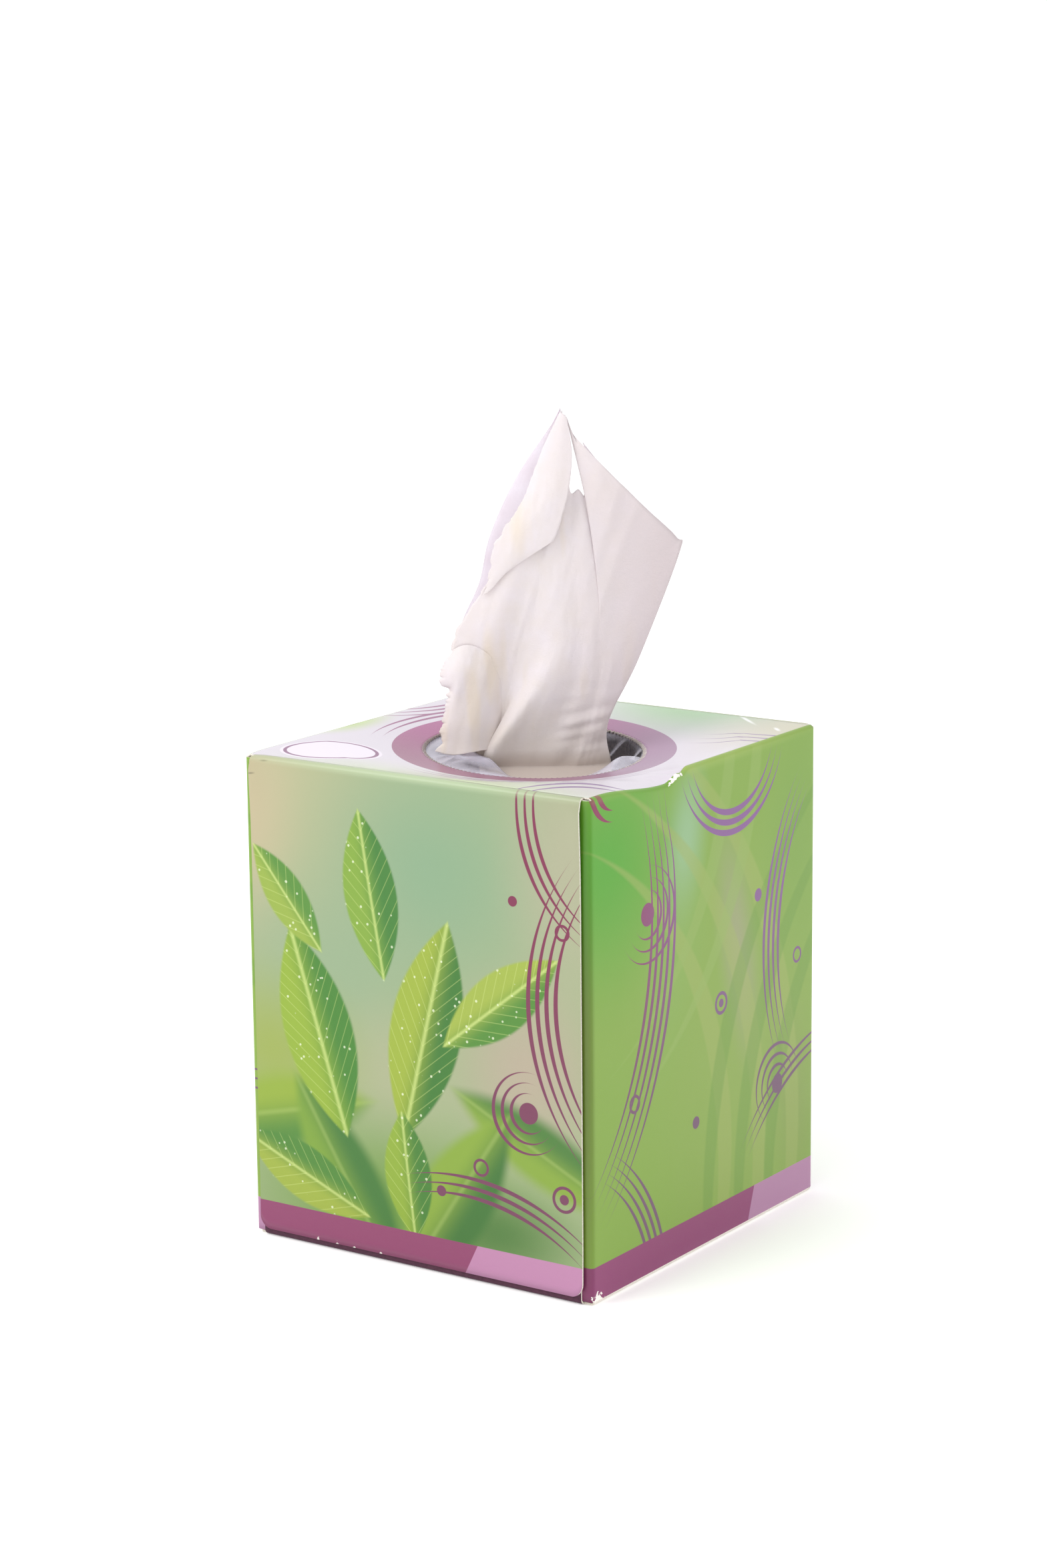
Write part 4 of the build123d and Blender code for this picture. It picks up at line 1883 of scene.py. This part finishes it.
@dataclass
class PulledTissue:
    """The tissue that is pulled up: five layers that part from the pinched tip and gather in the slit.

    Attributes:
        plies: its layers.
        facing: the direction in degrees, seen from above, that counts as across to the right.
        flat: its width and length before it was folded, in millimetres; not used.
        per_span: columns from one fold line to the next.
        rows: rows from the hem to the slit.
        foot_rows: rows from the slit to the pile.
        foot_width: how wide its foot spreads over the pile.
        pleat: how deep the foot's pleats are.
        neck: below the slit, how far down the paper bulges out and by what share of its belly.
        spread_down: how far below the slit it begins to spread.
        way_out: over the pile, how far out the foot lies as a share of its reach, and how high.
        rim: how far the foot stays inside the pile's edge.
        creases: how deep its long, short and fine creases are.
        wrinkle: how deep the paper wrinkles where it is gathered at the slit's right end.
        wrinkled: the height of those wrinkles, and their reach.
        taut: above which height it is too taut for fine creases, and below which they are full.
        thickness: of one layer's sheet.
    """

    plies: tuple[Ply, ...] = (FRONT_PLY, LOBE_PLY, MAIN_PLY, INNER_PLY, BACK_PLY)
    facing: float = 34.2
    flat: Pair = (200.0, 200.0)
    per_span: int = 10
    rows: int = 120
    foot_rows: int = 70
    foot_width: float = 90.0
    pleat: float = 2.4
    neck: tuple[Pair, ...] = ((3.5, 1.0), (11.0, 0.9))
    spread_down: float = 25.0
    way_out: tuple[Pair, ...] = (
        (0.22, 2.4), (0.5, 0.8), (0.8, 0.7), (1.0, 1.0), (1.0, 1.9),
        (0.7, 2.2), (0.35, 2.3), (0.32, 3.0), (0.65, 3.4), (0.95, 3.5),
    )
    rim: float = 2.0
    creases: Triple = (0.8, 0.16, 0.05)
    wrinkle: float = 0.8
    wrinkled: Pair = (127.0, 8.0)
    taut: Pair = (205.0, 185.0)
    thickness: float = 0.16

    def __post_init__(self) -> None:
        """Works out the directions across to the right and towards the viewer."""
        turn = math.radians(self.facing)
        self.right = Vector((math.cos(turn), math.sin(turn), 0))
        self.near = Vector((math.sin(turn), -math.cos(turn), 0))

    def placed(self, across: float, up: float, towards: float) -> Vector:
        """Turns a place seen from the front into the carton's frame."""
        return self.right * across + self.near * towards + Vector((0, 0, up))

    def foot(self, ply: Ply, top: Vector, share: float, pile: TissuePile) -> list[Vector]:
        """Gives the way of a fold line from the slit down to the pile, out over it and folded back.

        Args:
            ply: the layer.
            top: the line's place in the slit.
            share: the line's place in the layer, from 0 at the left to 1 at the right.
            pile: what the foot lies on.

        Returns:
            The points of the way.
        """
        side = math.copysign(1.0, ply.foot)
        across, up, towards = top
        wide = self.foot_width * (share - 0.5)
        pleat = self.pleat * math.sin(share * math.pi * 7)
        way = [top] + [Vector((across, up - drop, towards + part * ply.belly)) for drop, part in self.neck]
        beside = across * 0.7 + wide * 0.3
        way.append(Vector((beside, up - self.spread_down, towards + pleat + side * 2)))
        x_edge, y_edge = pile.half_width - self.rim, pile.half_depth - self.rim
        for run, lift in self.way_out:
            place = self.placed(wide * (0.7 + 0.3 * run), 0, ply.foot * run)
            place.x = min(max(place.x, -x_edge), x_edge)
            place.y = min(max(place.y, -y_edge), y_edge)
            place.z = pile.surface(place.x) + ply.rise + lift
            way.append(Vector((place.dot(self.right), place.z, place.dot(self.near))))
        return way

    def columns(self, ply: Ply, row: Sequence[Vector]) -> list[Vector]:
        """Spreads the points of the fold lines in a row into a whole row of the sheet.

        Args:
            ply: the layer.
            row: one point of each fold line.

        Returns:
            The row of points.
        """
        spread = [row[0]]
        start = 0
        for i in range(1, len(row)):
            if ply.lines[i].crisp or i == len(row) - 1:
                run = row[start : i + 1]
                count = self.per_span * (i - start)
                spread += [catmull(run, j / count) for j in range(1, count + 1)]
                start = i
        return spread

    def sheet(self, ply: Ply, pile: TissuePile) -> Grid:
        """Gives the grid of a ply in the carton's frame.

        Args:
            ply: the layer.
            pile: what its foot lies on.

        Returns:
            The grid.
        """
        lines = [[Vector(p) for p in line.points] for line in ply.lines]
        last = len(lines) - 1
        feet = [self.foot(ply, line[-1], i / last, pile) for i, line in enumerate(lines)] if ply.foot else []
        rows: Grid = []
        for i in range(self.rows + 1):
            rows.append(self.columns(ply, [catmull(line, i / self.rows) for line in lines]))
        for i in range(1, self.foot_rows + 1 if feet else 0):
            rows.append(self.columns(ply, [catmull(foot, i / self.foot_rows) for foot in feet]))
        finished: Grid = []
        for row in rows:
            shares = [j / (len(row) - 1) for j in range(len(row))]
            finished.append([self.placed(*self.creased(ply, p, t)) for p, t in zip(row, shares)])
        return finished

    def creased(self, ply: Ply, p: Vector, share: float) -> Vector:
        """Adds fine creases that run down the paper and the ragged line of the hem.

        Args:
            ply: the layer.
            p: a point: across, up, and towards the viewer.
            share: its place from the left hem, 0, to the right one, 1.

        Returns:
            The moved point.
        """
        across, up, towards = p
        loose = smooth(*self.taut, up)
        seed = ply.foot
        long = noise.noise(Vector((across * 0.16 - up * 0.05, up * 0.022, seed)))
        short = noise.noise(Vector((across * 0.5 - up * 0.12, up * 0.06, seed + 5)))
        fine = noise.noise(Vector((across * 1.1, up * 0.35, seed + 9)))
        deep, shallow, faint = self.creases
        towards += loose * (deep * (0.35 - abs(long)) + shallow * (0.3 - abs(short)) + faint * fine)
        # Where the slit gathers the paper at its right end it wrinkles across
        gathered = noise.noise(Vector((across * 0.1, up * 0.42 - across * 0.08, seed + 2)))
        height, reach = self.wrinkled
        towards += self.wrinkle * gathered * bump(up - height, reach) * smooth(3.0, 11.0, across)
        stray = noise.noise(Vector((up * 0.5, 0, seed))) + 0.6 * noise.noise(Vector((up * 1.4, 3, seed)))
        across += ply.ragged * stray * bump(share, 0.05) * loose
        return Vector((across, up, towards))

    def make(self, pile: TissuePile) -> bpy.types.Object:
        """Builds and dresses the pulled tissue.

        Args:
            pile: what its foot lies on.

        Returns:
            The tissue as one piece.
        """
        maker = MeshMaker("pulled_tissue_sheet")
        for ply in self.plies:
            maker.grid(self.sheet(ply, pile), finish=int(ply.single))
        # A ply by itself lets most of the light through and shows no painted streaks; its paler colour is
        # painted light, a lit copy of the paper
        thin = TissuePaper(
            "single_ply_tissue_paper", colour="#faf6fb", cloudy="#f6f0f5", glow=0.82, streaks=0.0
        )
        piece = maker.build([TissuePaper().make(), thin.make()])
        thicken(piece, self.thickness)
        settle(piece, "tissue_paper", "pulled_tissue")
        return piece


@dataclass
class Studio:
    """The pale floor, the soft light and the camera.

    Attributes:
        eye: where the camera stands, in millimetres.
        right: the picture's direction to the right.
        up: the picture's direction up.
        lens: the focal length on a 36 mm long side.
        key: the key light's power in watts.
        fill: the fill light's power in watts.
        sky: the strength of the white surroundings.
        floor_glow: how much the floor shines by itself, as a light table.
        sweep: how far the floor rises at its rim.
        floor_side: half the floor's side.
        floor_flat: how far out the floor is flat.
        key_place: where the key light hangs.
        fill_place: where the fill light hangs.
        softbox: the side of either light.
        aim: the height of the point that they look at.
    """

    eye: Triple = (509.5, -749.8, 308.4)
    right: Triple = (0.8266, 0.5628, -0.0102)
    up: Triple = (-0.1102, 0.1796, 0.9775)
    lens: float = 84.1
    key: float = 9.0
    fill: float = 1.2
    sky: float = 0.93
    floor_glow: float = 0.2
    sweep: float = 620.0
    floor_side: float = 4000.0
    floor_flat: float = 2400.0
    key_place: Triple = (-500.0, -900.0, 1100.0)
    fill_place: Triple = (1100.0, -200.0, 700.0)
    softbox: float = 900.0
    aim: float = 80.0

    def camera(self) -> None:
        """Sets the camera at the photograph's place."""
        data = bpy.data.cameras.new("camera")
        data.lens = self.lens
        data.sensor_width = 36.0
        data.clip_start = 0.05
        camera = bpy.data.objects.new("camera", data)
        right, up = Vector(self.right).normalized(), Vector(self.up)
        back = right.cross(up).normalized()
        turn = Matrix((right, back.cross(right), back)).transposed()
        camera.matrix_world = Matrix.Translation(Vector(self.eye) * MM) @ turn.to_4x4()
        bpy.context.scene.collection.objects.link(camera)
        bpy.context.scene.camera = camera

    def lamp(self, name: str, place: Triple, power: float) -> None:
        """Hangs a soft white square light that looks at the carton.

        Args:
            name: its name.
            place: where it hangs.
            power: in watts.
        """
        data = bpy.data.lights.new(name, "AREA")
        data.size = self.softbox * MM
        data.energy = power
        lamp = bpy.data.objects.new(name, data)
        spot = Vector(place) * MM
        lamp.location = spot
        lamp.rotation_euler = (Vector((0, 0, self.aim * MM)) - spot).to_track_quat("-Z", "Y").to_euler()
        bpy.context.scene.collection.objects.link(lamp)

    def surroundings(self) -> None:
        """Makes the white surroundings."""
        world = bpy.data.worlds.new("white_studio")
        world.use_nodes = True
        world.node_tree.nodes.clear()
        light = add_node(world.node_tree, "Background", {"Color": linear("#ffffff"), "Strength": self.sky})
        add_node(world.node_tree, "OutputWorld", {0: light})
        bpy.context.scene.world = world

    def floor(self) -> None:
        """Lays the pale floor, swept up at its rim as a backdrop is, with a faint unevenness of paint."""
        maker = MeshMaker("floor")
        side = self.floor_side
        steps = [side * (i / 20 - 1) for i in range(41)]
        rows: Grid = []
        for y in steps:
            rise = [self.sweep * smooth(self.floor_flat, side, math.hypot(x, y)) for x in steps]
            rows.append([Vector((x, y, z)) for x, z in zip(steps, rise)])
        maker.grid(rows)
        material, tree = blank("matt_white_paint")
        spot = add_node(tree, "TexCoord").outputs["Object"]
        mottle = add_node(tree, "TexNoise", {"Vector": spot, "Scale": 8.0, "Detail": 2.0})
        white = linear("#ffffff")
        colour = add_node(tree, "Mix", {0: mottle, 6: linear("#fbfbfb"), 7: white}, data_type="RGBA")
        inputs = {"Base Color": colour.outputs[2], "Roughness": 0.9, "Emission Color": white}
        shader = add_node(tree, "BsdfPrincipled", {**inputs, "Emission Strength": self.floor_glow})
        add_node(tree, "OutputMaterial", {0: shader})
        maker.build([material])

    def make(self) -> None:
        """Sets up the whole studio."""
        self.camera()
        self.surroundings()
        self.floor()
        self.lamp("key_softbox", self.key_place, self.key)
        self.lamp("fill_softbox", self.fill_place, self.fill)
        bpy.context.scene.view_settings.view_transform = "Standard"


def main() -> None:
    """Builds the tissue box piece by piece, then the studio."""
    logging.basicConfig(level=logging.INFO, format="%(name)s %(message)s")
    carton = Carton()
    carton.make()
    WindowFilm(carton).make()
    pile = TissuePile()
    pile.make()
    PulledTissue().make(pile)
    Studio().make()


if __name__ == "__main__":
    main()
